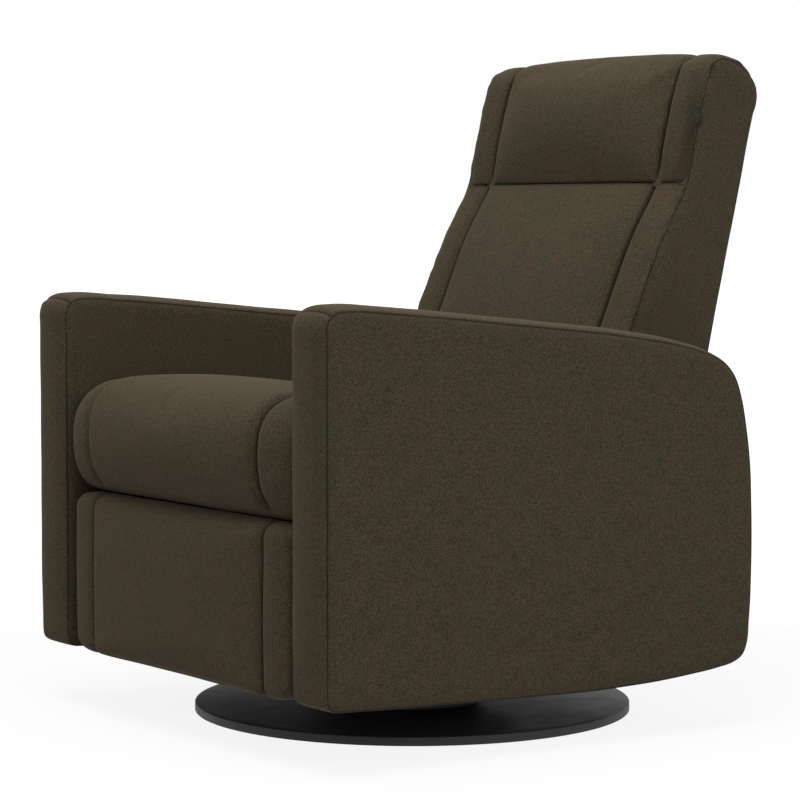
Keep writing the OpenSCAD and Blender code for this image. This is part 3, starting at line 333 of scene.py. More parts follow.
def dustCloth():
    # black spunbonded polypropylene, stapled over the boards that show from below
    material, tree, shader, coords = newMaterial("black dust cloth", {
        "Base Color": srgb("#1d1d1e"), "Roughness": 0.95, "Specular IOR Level": 0.2})
    bonds = addNode(tree, "ShaderNodeTexVoronoi", values={"Scale": perMetre(1.6)}, links=coords)
    addNode(tree, "ShaderNodeBump", values={"Strength": 0.3, "Distance": 0.2 * mm},
            links={"Height": (bonds, 0)}, feeds={0: (shader, "Normal")})
    return material


finishes = {
    "black_steel": paintedSteel(),
    "zinc_steel": platedSteel("black zinc-plated steel", "#4a4c4e", "#2e3032", 0.42, 1.4),
    "bright_steel": platedSteel("turned steel", "#b9bcc0", "#8f9296", 0.28, 0.8),
    "plywood": birchPly(),
    "foam": openFoam(),
    "felt": pressedFelt(),
    "webbing": wovenWebbing(),
    "black_plastic": mouldedNylon(),
    "upholstery": woolFelt,
}
underCloth = dustCloth()
clothCoveredBoards = ("footrest_board", "seat_front_rail", "seat_side_rails", "seat_rear_rail")
for part in frame["record"]["subparts"]:
    covered = part["node"] in clothCoveredBoards
    for materialSlot in frame["nodes"][part["node"]].material_slots:
        materialSlot.material = underCloth if covered else finishes[part["material_slot"]]
print("frame pieces finished")


# cloth simulation: the closed pad is blown up between its held seams
swellRecipe = {"pressure": 4.0, "frames": 20, "stiffness": 12.0, "quality": 6, "farthestShare": 0.995,
               "seamHold": 2}


def crownAtStart(share):
    # a pad starts with a share of its crown and the simulation blows up the rest
    return share


def onSeam(pad, x):
    return abs(abs(x) - pad["seamX"]) < swellRecipe["seamHold"]


def swell(piece, held, reachMm):
    # all moves are scaled so that the farthest, bar a few stray ones, is reachMm
    group = piece.vertex_groups.new(name="held")
    group.add([v.index for v in piece.data.vertices if held(v.co / mm)], 1.0, "REPLACE")
    cloth = piece.modifiers.new("cloth", "CLOTH")
    settings = cloth.settings
    settings.use_pressure = True
    settings.uniform_pressure_force = swellRecipe["pressure"]
    settings.effector_weights.gravity = 0
    settings.vertex_group_mass = "held"
    settings.quality = swellRecipe["quality"]
    settings.tension_stiffness = settings.compression_stiffness = swellRecipe["stiffness"]
    cloth.point_cache.frame_start = 1
    cloth.point_cache.frame_end = swellRecipe["frames"]
    for f in range(1, swellRecipe["frames"] + 1):
        scene.frame_set(f)
    depsgraph = bpy.context.evaluated_depsgraph_get()
    blown = [v.co.copy() for v in piece.evaluated_get(depsgraph).data.vertices]
    piece.modifiers.clear()
    piece.vertex_groups.clear()
    scene.frame_set(1)
    moves = [b - v.co for b, v in zip(blown, piece.data.vertices)]
    lengths = sorted(m.length for m in moves)
    farthest = lengths[int(len(lengths) * swellRecipe["farthestShare"])]
    print(piece.name, "swelled by", round(farthest / mm, 1), "mm, kept", reachMm)
    for move, v in zip(moves, piece.data.vertices):
        move *= reachMm * mm / farthest
        if move.length > reachMm * mm:
            move.length = reachMm * mm
        v.co += move


seamCut = {"loops": (-13, -9, -6, -3.8, -1.8, 0, 1.8, 3.8, 6, 9, 13), "loopReach": 25, "reach": 30,
           "pucker": 0.7, "puckerMm": 24, "puckerWidths": 1.6, "rollShare": 0.6}


def cutSeams(piece, seams, depth, width=7, shadeWidth=2.0):
    # each seam is a place x in mm and a test for where it runs: the panels roll into the seam, and a thin
    # dark line of painted shade is laid along it
    bm = bmesh.new()
    bm.from_mesh(piece.data)
    for x, runs in seams:
        for offset in seamCut["loops"]:
            near = [f for f in bm.faces if abs(f.calc_center_median().x / mm - x) < seamCut["loopReach"]]
            cut = set(near) | {e for f in near for e in f.edges} | {v for f in near for v in f.verts}
            bmesh.ops.bisect_plane(bm, geom=list(cut), dist=0.000005, plane_co=((x + offset) * mm, 0, 0),
                                   plane_no=(1, 0, 0))
    bm.normal_update()
    shade = bm.verts.layers.float["paintedSeamShade"]
    moves = []
    for v in bm.verts:
        p = v.co / mm
        for x, runs in seams:
            share = runs(p)
            away = abs(p.x - x)
            if share <= 0 or away > seamCut["reach"]:
                continue
            ripple = seamCut["pucker"] * wander(v.co, seamCut["puckerMm"], 3)
            ripple *= groove(away, seamCut["puckerWidths"] * width)
            wide, narrow = groove(away, width), groove(away, width / 3)
            roll = narrow + (wide - narrow) * seamCut["rollShare"]
            moves.append((v, ripple - depth * roll * share))
            # painted shade: the seam's crease is darkened in the shade layer
            v[shade] = max(v[shade], share * groove(away, shadeWidth))
    for v, move in moves:
        v.co += v.normal * move * mm
    bm.to_mesh(piece.data)
    bm.free()


def pinch(piece, distance, depth, width, sizeMm, seed):
    # uneven puckers along a gathered seam: distance gives how far a point in metres is from it, in mm
    moves = []
    for v in piece.data.vertices:
        near = groove(distance(v.co), width)
        moves.append(v.normal * (-depth * mm * near * (0.55 + 0.9 * wander(v.co, sizeMm, seed))))
    for v, move in zip(piece.data.vertices, moves):
        v.co += move


def darken(piece, shadeOf):
    # adds to the painted shade that the wool reads, from 0 to 1 at a point in metres
    layer = piece.data.attributes["paintedSeamShade"].data
    for v in piece.data.vertices:
        layer[v.index].value = max(layer[v.index].value, shadeOf(v.co))


def soften(piece, amountMm, sizeMm, seed):
    # slow unevenness of stuffed cloth, with all normals read before the first point moves
    moves = [v.normal * (amountMm * mm * wander(v.co, sizeMm, seed)) for v in piece.data.vertices]
    for v, move in zip(piece.data.vertices, moves):
        v.co += move


# seat cushion: a bull-nosed box with sewn side bands
seatPad = {
    "seamX": 225, "halfW": 297.6, "front": 403, "rear": 124, "foot": 322.3, "height": 156, "wallLift": 9,
    "noseDepth": 73, "noseOver": 3.2, "noseSquare": 0.8, "noseCrown": 1.3, "noseDraw": 0.6,
    "sideDraw": 42, "drawPower": 2.2, "crown": 10, "startShare": 0.35, "proud": 4,
    "rearRound": 22, "rearFall": 34, "rakeShare": 0.42, "hang": 10, "hangRise": 16, "railFront": -337,
    "stepX": 11, "seamDepth": 6, "swellMm": 9, "heldLow": 4, "heldRear": 12, "heldSide": 12,
    "nosePoints": 26, "topPoints": 36, "footPoints": 30, "seamFrom": 8,
    "ends": [(10, 1.0), (16, 0)], "waves": {"amountMm": 0.8, "sizeMm": 90, "seed": 1},
}


def seatRing(x):
    s = seatPad
    t = max(0, (abs(x) - s["seamX"]) / (s["halfW"] - s["seamX"]))
    start = crownAtStart(s["startShare"])
    bulge = start * s["crown"] * (1 - min(1, abs(x) / s["seamX"]) ** 2 + 0.25 * math.sin(math.pi * t))
    bulge += proudOf(x, s["seamX"], s["proud"])
    pull = s["sideDraw"] * drawnIn(t, s["drawPower"])
    top = s["foot"] + s["height"] + bulge - pull
    half = (top - s["foot"]) / 2
    noseY = s["noseDepth"] - s["front"]
    deep = s["noseDepth"] + s["noseCrown"] * bulge + s["noseOver"] - s["noseDraw"] * pull
    endY = s["rear"] - s["rearRound"]
    ring = []
    for i in range(s["nosePoints"] + 1):
        a = math.pi * i / s["nosePoints"] - math.pi / 2
        c = math.cos(a) ** s["noseSquare"] if i not in (0, s["nosePoints"]) else 0
        q = abs(math.sin(a)) ** s["noseSquare"]
        y = noseY - deep * c
        # below its middle the nose hangs in front of the rail
        hang = s["hang"] * max(0, -math.sin(a)) * min(1, max(0, (s["railFront"] - y) / s["hangRise"]))
        ring.append((y, s["foot"] - hang + half + half * math.copysign(q, math.sin(a))))
    for i in range(1, s["topPoints"] + 1):
        u = i / s["topPoints"]
        ring.append((noseY + (endY - noseY) * u, top - s["rearFall"] * (1 - groove(u, s["rakeShare"]))))
    wallTop = top - s["rearFall"] - s["rearRound"]
    for i in range(1, 6):
        a = math.pi / 2 * i / 5
        ring.append((endY + s["rearRound"] * math.sin(a), wallTop + s["rearRound"] * math.cos(a)))
    for i in range(6):
        ring.append((s["rear"], wallTop + (s["foot"] + s["wallLift"] - wallTop) * (i + 1) / 6))
    for i in range(1, s["footPoints"]):
        ring.append((s["rear"] + (noseY - s["rear"]) * i / s["footPoints"], s["foot"]))
    return [Vector((x, y, z)) * mm for y, z in ring]


def acrossPad(pad, edges):
    # places across a pad: close together by its ends, and one on each seam
    half = [pad["halfW"] - d for d in edges] + [pad["seamX"]]
    return stations([-x for x in half] + half[::-1], pad["stepX"])


def ringPad(name, columns, ringAt):
    rings = {x: ringAt(x) for x in columns}
    count = len(rings[columns[0]])
    bm = mapGrid(columns, list(range(count + 1)), lambda x, j: rings[x][j % count])
    return toPiece(bm, name, woolFelt)


s = seatPad
seat = ringPad("seatPad", acrossPad(s, (0, 3, 9, 18)), seatRing)
swell(seat, lambda p: p.z < s["foot"] + s["heldLow"] or p.y > s["rear"] - s["heldRear"] or onSeam(s, p.x)
      or abs(p.x) > s["halfW"] - s["heldSide"], s["swellMm"])
subdivide(seat)
closeEnds(seat, s["ends"])
soften(seat, **s["waves"])
overTop = lambda p: 1.0 if p.z > s["foot"] + s["seamFrom"] else 0.0
cutSeams(seat, [(-s["seamX"], overTop), (s["seamX"], overTop)], s["seamDepth"])
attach(seat, "seat")
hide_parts("seat_cushion")
print("seat cushion stuffed")


# back pads: lumbar and headrest, in the back's own axes (x, n rearward, v up along the back)
back = {
    "axisY": 215, "axisZ": 360, "lean": 13.6,
    "length": 600, "depth": 96, "halfW": 264.6, "seamX": 199, "crown": 13, "proud": 5, "parting": 20,
    "crownPower": 2.6, "startShare": 0.25, "wingCrown": 0.45, "wingDraw": 11, "drawPower": 3,
    "overRear": 62, "tuck": 30, "topFall": 17, "topCrown": 5, "topDraw": 0.18,
    "stepX": 11, "seamDepth": 7, "seamWidth": 8, "seamShadeWidth": 3, "seamFrom": 6, "seamOver": 560,
    "heldRear": 12, "heldTop": 28, "heldSide": 6, "heldEnd": 3,
    "ends": [(9, 0)], "waves": {"amountMm": 0.9, "sizeMm": 70, "seed": 4},
    "puckers": {"depth": 3.2, "width": 13, "sizeMm": 19, "seed": 5},
    # painted shade: dark lines where the pads part and at the sides, and a painted shadow by the headrest's
    # sides
    "partedWidth": 3.2, "edgeShade": 0.6, "edgeWidth": 3, "sideShadowWidth": 26, "sideShadowMm": 34, "sideShadowFrom": 400,
    "shares": [(0.07, 1), (0.175, 1), (0.33, 0.8), (0.39, 0.74), (0.5, 0.61), (0.567, 0.5),
               (0.625, 0.37), (0.675, 0.28), (0.79, 0.31), (0.883, 0.31), (0.95, 0.27), (1, 0.2)],
}


def onBack(x, n, v):
    a = math.radians(back["lean"])
    return Vector((x, back["axisY"] + n * math.cos(a) + v * math.sin(a),
                   back["axisZ"] - n * math.sin(a) + v * math.cos(a))) * mm


def offBack(p):
    # the inverse: x, n, v in mm of a point in metres
    a = math.radians(back["lean"])
    y, z = p.y / mm - back["axisY"], p.z / mm - back["axisZ"]
    return p.x / mm, y * math.cos(a) - z * math.sin(a), y * math.sin(a) + z * math.cos(a)


def backDepth(v):
    return back["depth"] * lookup(v / back["length"], back["shares"])


def smoothDepth(v):
    # the depth's straight stretches run into each other
    return sum(backDepth(v + k) for k in (-18, -9, 0, 9, 18)) / 5


def padRing(x, low, high, roll, steps, power, drop):
    # power and drop have a lower and an upper value: how square the pad's end is and how far it falls back
    b = back
    t = max(0, (abs(x) - b["seamX"]) / (b["halfW"] - b["seamX"]))
    drawn = drawnIn(t, b["drawPower"])
    top = high - roll * b["topDraw"] * drawn
    if roll:
        top += b["topCrown"] * (1 - min(1, abs(x) / b["seamX"]) ** 2)
    crown = crownAtStart(b["startShare"]) * b["crown"]
    middle = crown * (1 - min(1, abs(x) / b["seamX"]) ** b["crownPower"])
    middle += proudOf(x, b["seamX"], b["proud"])
    wing = crown * b["wingCrown"] * math.sin(math.pi * t)
    ring = []
    for i in range(steps + 1):
        v = low + (top - low) * (1 - math.cos(math.pi * i / steps)) / 2
        u = (2 * v - low - high) / (high - low)
        puff = max(0, 1 - abs(u) ** power[u > 0]) ** 0.5
        rolled = roll * drawnIn(min(1, max(0, (v - top) / roll + 1)), 2) if roll else 0
        front = smoothDepth(v) + puff * (middle + wing) - b["wingDraw"] * drawn
        ring.append((rolled - front + drop[u > 0] * (1 - puff), v))
    end = ring[-1][0]
    behind = top
    if roll:
        # the cover runs on over the top of the frame and tucks in behind
        for k in range(1, 8):
            ring.append((end + (b["overRear"] - end) * k / 7, top - b["topFall"] * (k / 7) ** 2.2))
        behind = top - b["tuck"]
        ring.append((b["overRear"] - 8, behind))
    for k in range(9):
        ring.append((b["parting"], behind + (low - behind) * k / 8))
    return [onBack(x, n, v) for n, v in ring]


b = back
pads = {
    "lumbarPad": {"low": 42, "high": 403.4, "roll": 0, "steps": 36, "power": (4, 12), "drop": (11, 1),
                  "swell": 10, "node": "lumbar_cushion"},
    "headrestPad": {"low": 403.7, "high": 602, "roll": 36, "steps": 26, "power": (3.2, 60), "drop": (6, 0),
                    "swell": 12, "node": "headrest_cushion"},
}


def padShade(co):
    # painted shade: dark lines where the two pads meet and along the sides, and a painted shadow by the
    # headrest's sides
    x, n, v = offBack(co)
    toSide = b["halfW"] - abs(x)
    parted = groove(v - pads["lumbarPad"]["high"], b["partedWidth"])
    sideShadow = groove(toSide, b["sideShadowWidth"]) * max(0, 0.3 + 0.5 * wander(co, b["sideShadowMm"], 9))
    return max(parted, b["edgeShade"] * groove(toSide, b["edgeWidth"]), sideShadow if v > b["sideShadowFrom"] else 0)


for name, pad in pads.items():
    shape = [pad[key] for key in ("low", "high", "roll", "steps", "power", "drop")]
    piece = ringPad(name, acrossPad(b, (0, 3, 9)), lambda x: padRing(x, *shape))

    def held(p):
        x, n, v = offBack(p * mm)
        behind = n > b["parting"] - 2 and v < pad["high"] - b["heldTop"]
        hidden = behind or n > b["overRear"] - b["heldRear"]
        return (hidden or onSeam(b, x) or abs(x) > b["halfW"] - b["heldSide"] or v < pad["low"] + b["heldEnd"]
                or (pad["roll"] == 0 and v > pad["high"] - b["heldEnd"]))

    swell(piece, held, pad["swell"])
    subdivide(piece)
    closeEnds(piece, b["ends"])
    soften(piece, **b["waves"])

    def outside(p):
        x, n, v = offBack(p * mm)
        return 1.0 if n < b["parting"] - b["seamFrom"] or v > b["seamOver"] else 0.0

    cutSeams(piece, [(-b["seamX"], outside), (b["seamX"], outside)], b["seamDepth"], b["seamWidth"],
             b["seamShadeWidth"])
    pinch(piece, lambda co: b["halfW"] - abs(co.x / mm), **b["puckers"])
    darken(piece, padShade)
    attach(piece, "back")
    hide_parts(pad["node"])
    print(name, "stuffed")


# slabs: the padded arms and the outside of the back, a strip round the edge sewn to two side panels
# distances in mm from the edge: the strip's columns, the side panels' rows and the reach of the seam's shapes
slabSeam = {
    "strip": [0, 1.4, 3.2, 6.5, 12, 18], "rows": [1.6, 4, 8, 14, 23, 36], "farRows": 5,
    "stripDip": 3.4, "turnIn": 2.2, "panelDip": 2.6, "shade": 1.3, "pillowReach": 90,
    "nearShare": 0.6, "farShare": 0.92, "stripWaveMm": 70, "panelWaveMm": 95,
}


def outlinePoints(stops, step):
    # walks the closed outline so that no two points are further apart than step
    out = []
    for (a0, b0), (a1, b1) in zip(stops, stops[1:] + stops[:1]):
        length = math.hypot(a1 - a0, b1 - b0)
        count = max(1, math.ceil(length / step - 1e-6))
        out += [(a0 + (a1 - a0) * k / count, b0 + (b1 - b0) * k / count) for k in range(count)]
    return out


def slabPiece(name, points, middle, wide, toWorld, settings, crownAt, crossAt=lambda a, b: 0):
    # points go round the edge, middle is the line that the side panels close to, wide is the two sides' x
    # first, each point's way out and the nearest place on the middle line
    count = len(points)
    (m0a, m0b), (m1a, m1b) = middle
    length2 = (m1a - m0a) ** 2 + (m1b - m0b) ** 2
    rings = []
    for k, (a, b) in enumerate(points):
        (pa, pb), (na, nb) = points[k - 1], points[(k + 1) % count]
        ta, tb = na - pa, nb - pb
        size = math.hypot(ta, tb)
        share = min(1, max(0, ((a - m0a) * (m1a - m0a) + (b - m0b) * (m1b - m0b)) / length2))
        ca, cb = m0a + (m1a - m0a) * share, m0b + (m1b - m0b) * share
        oa, ob = tb / size, -ta / size
        if oa * (a - ca) + ob * (b - cb) < 0:
            oa, ob = -oa, -ob
        rings.append((a, b, oa, ob, ca, cb, math.hypot(ca - a, cb - b)))
    # a side panel has rows at set distances from its edge, and shares of the way to the middle beyond them
    q = slabSeam
    side = [("near", d) for d in q["rows"]]
    side += [("far", i / q["farRows"]) for i in range(1, q["farRows"] + 1)]
    x0, x1 = wide
    across = abs(x1 - x0)
    strip = q["strip"] + [across * share for share in settings["stripShares"]]
    strip += [across - d for d in q["strip"][::-1]]
    columns = ([("a", *c) for c in reversed(side)] + [("strip", "", w) for w in strip]
               + [("b", *c) for c in side])

    def place(column, k):
        a, b, oa, ob, ca, cb, reach = rings[k % count]
        panel, kind, value = column
        if panel == "strip":
            edge = min(value, across - value)
            grow = crownAt(value / across, a, b) - settings["seamDepth"] * groove(edge, q["stripDip"])
            grow += settings["uneven"] * wander(Vector((x0 + value, a, b)) * mm, q["stripWaveMm"], 5)
            inward = settings["seamIn"] * groove(edge, q["turnIn"])
            x = x0 + (x1 - x0) * value / across
            x += math.copysign(inward, (x0 + x1) / 2 - x)
            return toWorld(x, a + oa * grow, b + ob * grow)
        narrow = min(1, q["nearShare"] * reach / q["rows"][-1])
        last = q["rows"][-1] * narrow / reach
        share = value * narrow / reach if kind == "near" else last + (q["farShare"] - last) * value
        distance = share * reach
        roll = settings["seamIn"] * math.exp(-(distance / settings["rollMm"]) ** 1.3)
        x, inside = (x0, x1) if panel == "a" else (x1, x0)
        x += math.copysign(roll - settings["pillow"] * min(1, distance / q["pillowReach"]), inside - x)
        fade = max(0, 1 - share / q["nearShare"])
        x += settings["uneven"] * fade * wander(Vector((x, a, b)) * mm, q["panelWaveMm"], 5)
        sink = settings["seamDepth"] * groove(distance, q["panelDip"])
        share += sink / reach
        return toWorld(x, a + (ca - a) * share, b + (cb - b) * share)

    # painted shade along the seams of the strip and the side panels, and at the arm's cross seam
    def shadeAt(column, k):
        panel, kind, value = column
        if panel != "strip":
            return groove(value, q["shade"]) if kind == "near" else 0
        a, b = rings[k % count][:2]
        return max(groove(min(value, across - value), q["shade"]), crossAt(a, b))

    piece = toPiece(mapGrid(columns, list(range(count + 1)), place, shadeAt), name, woolFelt)
    subdivide(piece)
    closeEnds(piece, [])
    return piece


arms = {
    "foot": 74, "height": 518, "outer": 385, "inner": 301,
    # y and z round the arm, from the foot of its front
    "knots": [(-398, 102), (-396, 92), (-388, 86.5), (-370, 84.5), (-334, 83), (-178, 78), (77, 74.5),
              (200, 80), (251, 85.5), (283, 92), (297, 100), (303.5, 113), (307, 150), (310.5, 230),
              (310.5, 300), (307, 363), (300.5, 414), (291, 458), (278, 490), (261, 508), (237, 520),
              (183, 535), (93, 549.5), (-80, 568), (-303, 588.5), (-366, 592), (-382, 590.5), (-393, 584),
              (-398, 572), (-398, 550), (-398, 400), (-398, 250), (-398, 125)],
    "stepMm": 9, "seamStepMm": 2.2, "seamReach": 14,
    "crown": 8, "crownPower": 2.4, "fadeShare": 0.2,
    "crossSeam": (-390, 587), "crossSeamDepth": 2.4, "crossSeamWidth": 3.5, "crossShadeWidth": 1.5,
    "middle": [(-200, 325), (90, 325)],
    "slab": {"stripShares": [0.3, 0.4, 0.5, 0.6, 0.7], "seamDepth": 1.6, "seamIn": 3.2, "rollMm": 7,
             "pillow": 0.0, "uneven": 0.7},
}


def curveThrough(knots, stepAt):
    # a smooth closed curve through the knots, with tangents weighted by the distances between them
    out = []
    count = len(knots)
    points = [Vector(k) for k in knots]

    def tangent(i):
        before, here, after = points[i - 1], points[i % count], points[(i + 1) % count]
        a, b = (here - before).length, (after - here).length
        return ((here - before) / a * b + (after - here) / b * a) / (a + b)

    for i in range(count):
        p, q = points[i], points[(i + 1) % count]
        length = (q - p).length
        m, n = tangent(i) * length, tangent(i + 1) * length
        steps = max(1, math.ceil(length / stepAt(p, q) - 1e-6))
        for k in range(steps):
            u = k / steps
            out.append(tuple(p * (1 - 3 * u * u + 2 * u ** 3) + m * (u - 2 * u * u + u ** 3)
                             + q * (3 * u * u - 2 * u ** 3) + n * (u ** 3 - u * u)))
    return out


def armStep(p, q):
    seam = Vector(arms["crossSeam"])
    byTheSeam = min((p - seam).length, (q - seam).length) < arms["seamReach"]
    return arms["seamStepMm"] if byTheSeam else arms["stepMm"]


def fromCrossSeam(y, z):
    return math.hypot(y - arms["crossSeam"][0], z - arms["crossSeam"][1])


# painted shade in the crease of the arm's cross seam
def crossShade(y, z):
    return groove(fromCrossSeam(y, z), arms["crossShadeWidth"])


def armCrown(share, y, z):
    fade = min(1, max(0, (z - arms["foot"]) / arms["height"] / arms["fadeShare"]))
    rounded = arms["crown"] * fade * (1 - abs(2 * share - 1) ** arms["crownPower"])
    return rounded - arms["crossSeamDepth"] * groove(fromCrossSeam(y, z), arms["crossSeamWidth"])


releaseHole = {"front": -263, "rear": -167, "low": 409, "high": 451, "panel": -380, "turnIn": 12, "near": 100}


def openFor(arm, hole):
    # cuts the outer panel for the release cup and turns its edge in behind the bezel's rim
    bm = bmesh.new()
    bm.from_mesh(arm.data)
    cuts = [((0, hole["front"], 0), (0, 1, 0)), ((0, hole["rear"], 0), (0, 1, 0)),
            ((0, 0, hole["low"]), (0, 0, 1)), ((0, 0, hole["high"]), (0, 0, 1))]
    middleY, middleZ = (hole["front"] + hole["rear"]) / 2, (hole["low"] + hole["high"]) / 2
    middle = Vector((hole["panel"], middleY, middleZ)) * mm
    for place, normal in cuts:
        near = [f for f in bm.faces if (f.calc_center_median() - middle).length < hole["near"] * mm]
        geom = list(set(near) | {e for f in near for e in f.edges} | {v for f in near for v in f.verts})
        bmesh.ops.bisect_plane(bm, geom=geom, dist=0.00001, plane_co=Vector(place) * mm, plane_no=normal)
    inside = []
    for face in bm.faces:
        x, y, z = face.calc_center_median() / mm
        if x < hole["panel"] and hole["front"] < y < hole["rear"] and hole["low"] < z < hole["high"]:
            inside.append(face)
    bmesh.ops.delete(bm, geom=inside, context="FACES")
    rim = bmesh.ops.extrude_edge_only(bm, edges=[e for e in bm.edges if e.is_boundary])["geom"]
    bmesh.ops.translate(bm, verts=[g for g in rim if isinstance(g, bmesh.types.BMVert)],
                        vec=(hole["turnIn"] * mm, 0, 0))
    bm.to_mesh(arm.data)
    bm.free()


for name, sign, node in (("armLeft", 1, "arm_cover_left"), ("armRight", -1, "arm_cover_right")):
    arm = slabPiece(name, curveThrough(arms["knots"], armStep), arms["middle"],
                    (sign * arms["inner"], sign * arms["outer"]),
                    lambda x, y, z: Vector((x, y, z)) * mm, arms["slab"], armCrown, crossShade)
    if sign < 0:
        openFor(arm, releaseHole)
    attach(arm, "chassis")
    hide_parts(node)
    print(name, "covered")


# outside of the back, in the back's own axes
backOuter = {
    "halfW": 267.5, "rear": 75.6, "low": 42, "inset": 7, "stepMm": 12, "edgeStepMm": 10, "crown": 2,
    "frontTop": 575, "rearTop": 530, "sideFrom": 250, "crownFrom": 60, "crownPower": 3,
    "top": [(-15, 581), (-11, 587), (-3, 592), (10, 593.5), (28, 592), (47, 587), (62, 579), (72, 569),
            (77, 556), (78, 542)],
    "middle": [(14, 130), (22, 500)],
    "slab": {"stripShares": [0.08 + 0.06 * k for k in range(15)], "seamDepth": 1.6, "seamIn": 4.0,
             "rollMm": 9, "pillow": 0.8, "uneven": 1.0},
    "puckers": {"depth": 2.6, "width": 12, "sizeMm": 21, "seed": 11},
    # painted shadow of the puckers along the front edge: its width, noise size and strengths
    "puckerShadow": {"width": 7, "sizeMm": 16, "least": 0.35, "headFrom": 800, "head": 0.9, "below": 0.35},
}


def shellOutline():
    o = backOuter
    front = [(o["inset"] - smoothDepth(v), v) for v in stations([o["low"], o["frontTop"]], o["stepMm"])]
    rear = [(o["rear"], v) for v in stations([o["rearTop"], o["low"]], o["stepMm"])]
    return outlinePoints(front + o["top"] + rear, o["edgeStepMm"])


def shellCrown(share, n, v):
    o = backOuter
    return o["crown"] * (1 - abs(2 * share - 1) ** o["crownPower"]) if n > o["crownFrom"] else 0


def fromFrontEdge(co):
    # how far a point on the sides is from the shell's front edge, in mm, and far off for any other
    x, n, v = offBack(co)
    return abs(n + smoothDepth(v) - backOuter["inset"]) if abs(x) > backOuter["sideFrom"] else 99


def puckerShadow(co):
    # painted shadow of the puckers, strongest by the headrest
    mark = backOuter["puckerShadow"]
    strength = mark["head"] if co.z > mark["headFrom"] * mm else mark["below"]
    uneven = max(0, mark["least"] + wander(co, mark["sizeMm"], 8))
    return groove(fromFrontEdge(co), mark["width"]) * uneven * strength


shell = slabPiece("backOuter", shellOutline(), backOuter["middle"], (-backOuter["halfW"], backOuter["halfW"]),
                  onBack, backOuter["slab"], shellCrown)
pinch(shell, fromFrontEdge, **backOuter["puckers"])
darken(shell, puckerShadow)
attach(shell, "back")
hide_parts("back_shell")


# flat padded panels: the skirt below the back and the panel between the arms
skirtPanel = {"size": (530, 12, 91), "n": 69.2, "v": 2.5, "round": 4, "pillow": 0.8}
closingPanel = {"size": (601, 20, 222), "y": 299, "z": 201, "round": 6, "pillow": 2.5}
panelCellMm = 14


def flatPanel(name, panel, place):
    size = panel["size"]
    bm = bmesh.new()
    bmesh.ops.create_cube(bm, size=1)
    for v in bm.verts:
        v.co = Vector(v.co[i] * size[i] for i in range(3)) * mm
    bmesh.ops.bevel(bm, geom=bm.edges[:], offset=panel["round"] * mm, segments=3, profile=0.5, affect="EDGES",
                    material=-1)
    for axis in (0, 2):
        cells = max(2, round(size[axis] / panelCellMm))
        for k in range(1, cells):
            normal = Vector((0, 0, 0))
            normal[axis] = 1
            where = normal * (size[axis] * (k / cells - 0.5) * mm)
            bmesh.ops.bisect_plane(bm, geom=bm.verts[:] + bm.edges[:] + bm.faces[:], dist=0.00001,
                                   plane_co=where, plane_no=normal)
    for v in bm.verts:
        u, w = 2 * v.co.x / (size[0] * mm), 2 * v.co.z / (size[2] * mm)
        v.co.y += math.copysign(panel["pillow"] * mm * (1 - abs(u) ** 6) * (1 - w ** 4), v.co.y)
    for v in bm.verts:
        v.co = place(v.co / mm)
    bmesh.ops.recalc_face_normals(bm, faces=bm.faces)
    return toPiece(bm, name, woolFelt)


skirt = flatPanel("backSkirt", skirtPanel,
                  lambda p: onBack(p.x, p.y + skirtPanel["n"], p.z + skirtPanel["v"]))
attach(skirt, "back")
rearPanel = flatPanel("rearPanel", closingPanel,
                      lambda p: (p + Vector((0, closingPanel["y"], closingPanel["z"]))) * mm)
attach(rearPanel, "chassis")
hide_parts("rear_cover")
print("back and rear panel covered")


# footrest pad: a rounded slab with sewn side wings
footPad = {
    "seamX": 227, "halfW": 289.7, "low": 84, "height": 231, "front": 402, "board": -362.3,
    "crown": 5, "crownPower": 2.5, "frontCrown": 0.5, "startShare": 0.3, "corner": 16, "topCorner": 25,
    "drawLow": 24, "drawHigh": 12, "drawFront": 16, "drawPower": 3.2, "stepX": 11,
    "seamDepth": 5, "swellMm": 7, "proud": 3.5, "thickShare": 0.6, "heldRear": 4, "heldSide": 8,
    "cornerPoints": 6, "facePoints": 18, "topPoints": 8, "seamFrom": 6, "sharpFrom": 60,
    "ends": [(3, 0)], "waves": {"amountMm": 0.6, "sizeMm": 80, "seed": 9},
}


def footRing(x):
    f = footPad
    t = max(0, (abs(x) - f["seamX"]) / (f["halfW"] - f["seamX"]))
    draw = drawnIn(t, f["drawPower"])
    crown = crownAtStart(f["startShare"]) * f["crown"]
    bulge = crown * (1 - min(1, abs(x) / f["seamX"]) ** f["crownPower"])
    z0 = f["low"] + f["drawLow"] * draw
    z1 = f["low"] + f["height"] - f["drawHigh"] * draw
    bulge += proudOf(x, f["seamX"], f["proud"])
    front = f["drawFront"] * draw - f["front"] + f["proud"] - bulge
    # the corner radii shrink with the pad toward its ends, or its outline would cross itself there
    most = f["thickShare"] * (f["board"] - front)
    c, e = min(f["corner"], most), min(f["topCorner"], most)
    face = z1 - z0 - c - e
    ring = []
    for i in range(f["cornerPoints"] + 1):
        a = math.pi / 2 * i / f["cornerPoints"]
        ring.append((front + c * (1 - math.sin(a)), z0 + c * (1 - math.cos(a))))
    for i in range(1, f["facePoints"]):
        u = i / f["facePoints"]
        ring.append((front - crown * f["frontCrown"] * math.sin(math.pi * u), z0 + c + face * u))
    for i in range(f["topPoints"] + 1):
        a = math.pi / 2 * i / f["topPoints"]
        ring.append((front + e * (1 - math.cos(a)), z1 - e * (1 - math.sin(a))))
    for i in range(1, 3):
        ring.append((front + e + (f["board"] - front - e) * i / 3, z1))
    for i in range(f["facePoints"] + 1):
        ring.append((f["board"], z1 + (z0 - z1) * i / f["facePoints"]))
    for i in range(1, 3):
        ring.append((f["board"] + (front + c - f["board"]) * i / 3, z0))
    return [Vector((x, y, z)) * mm for y, z in ring]


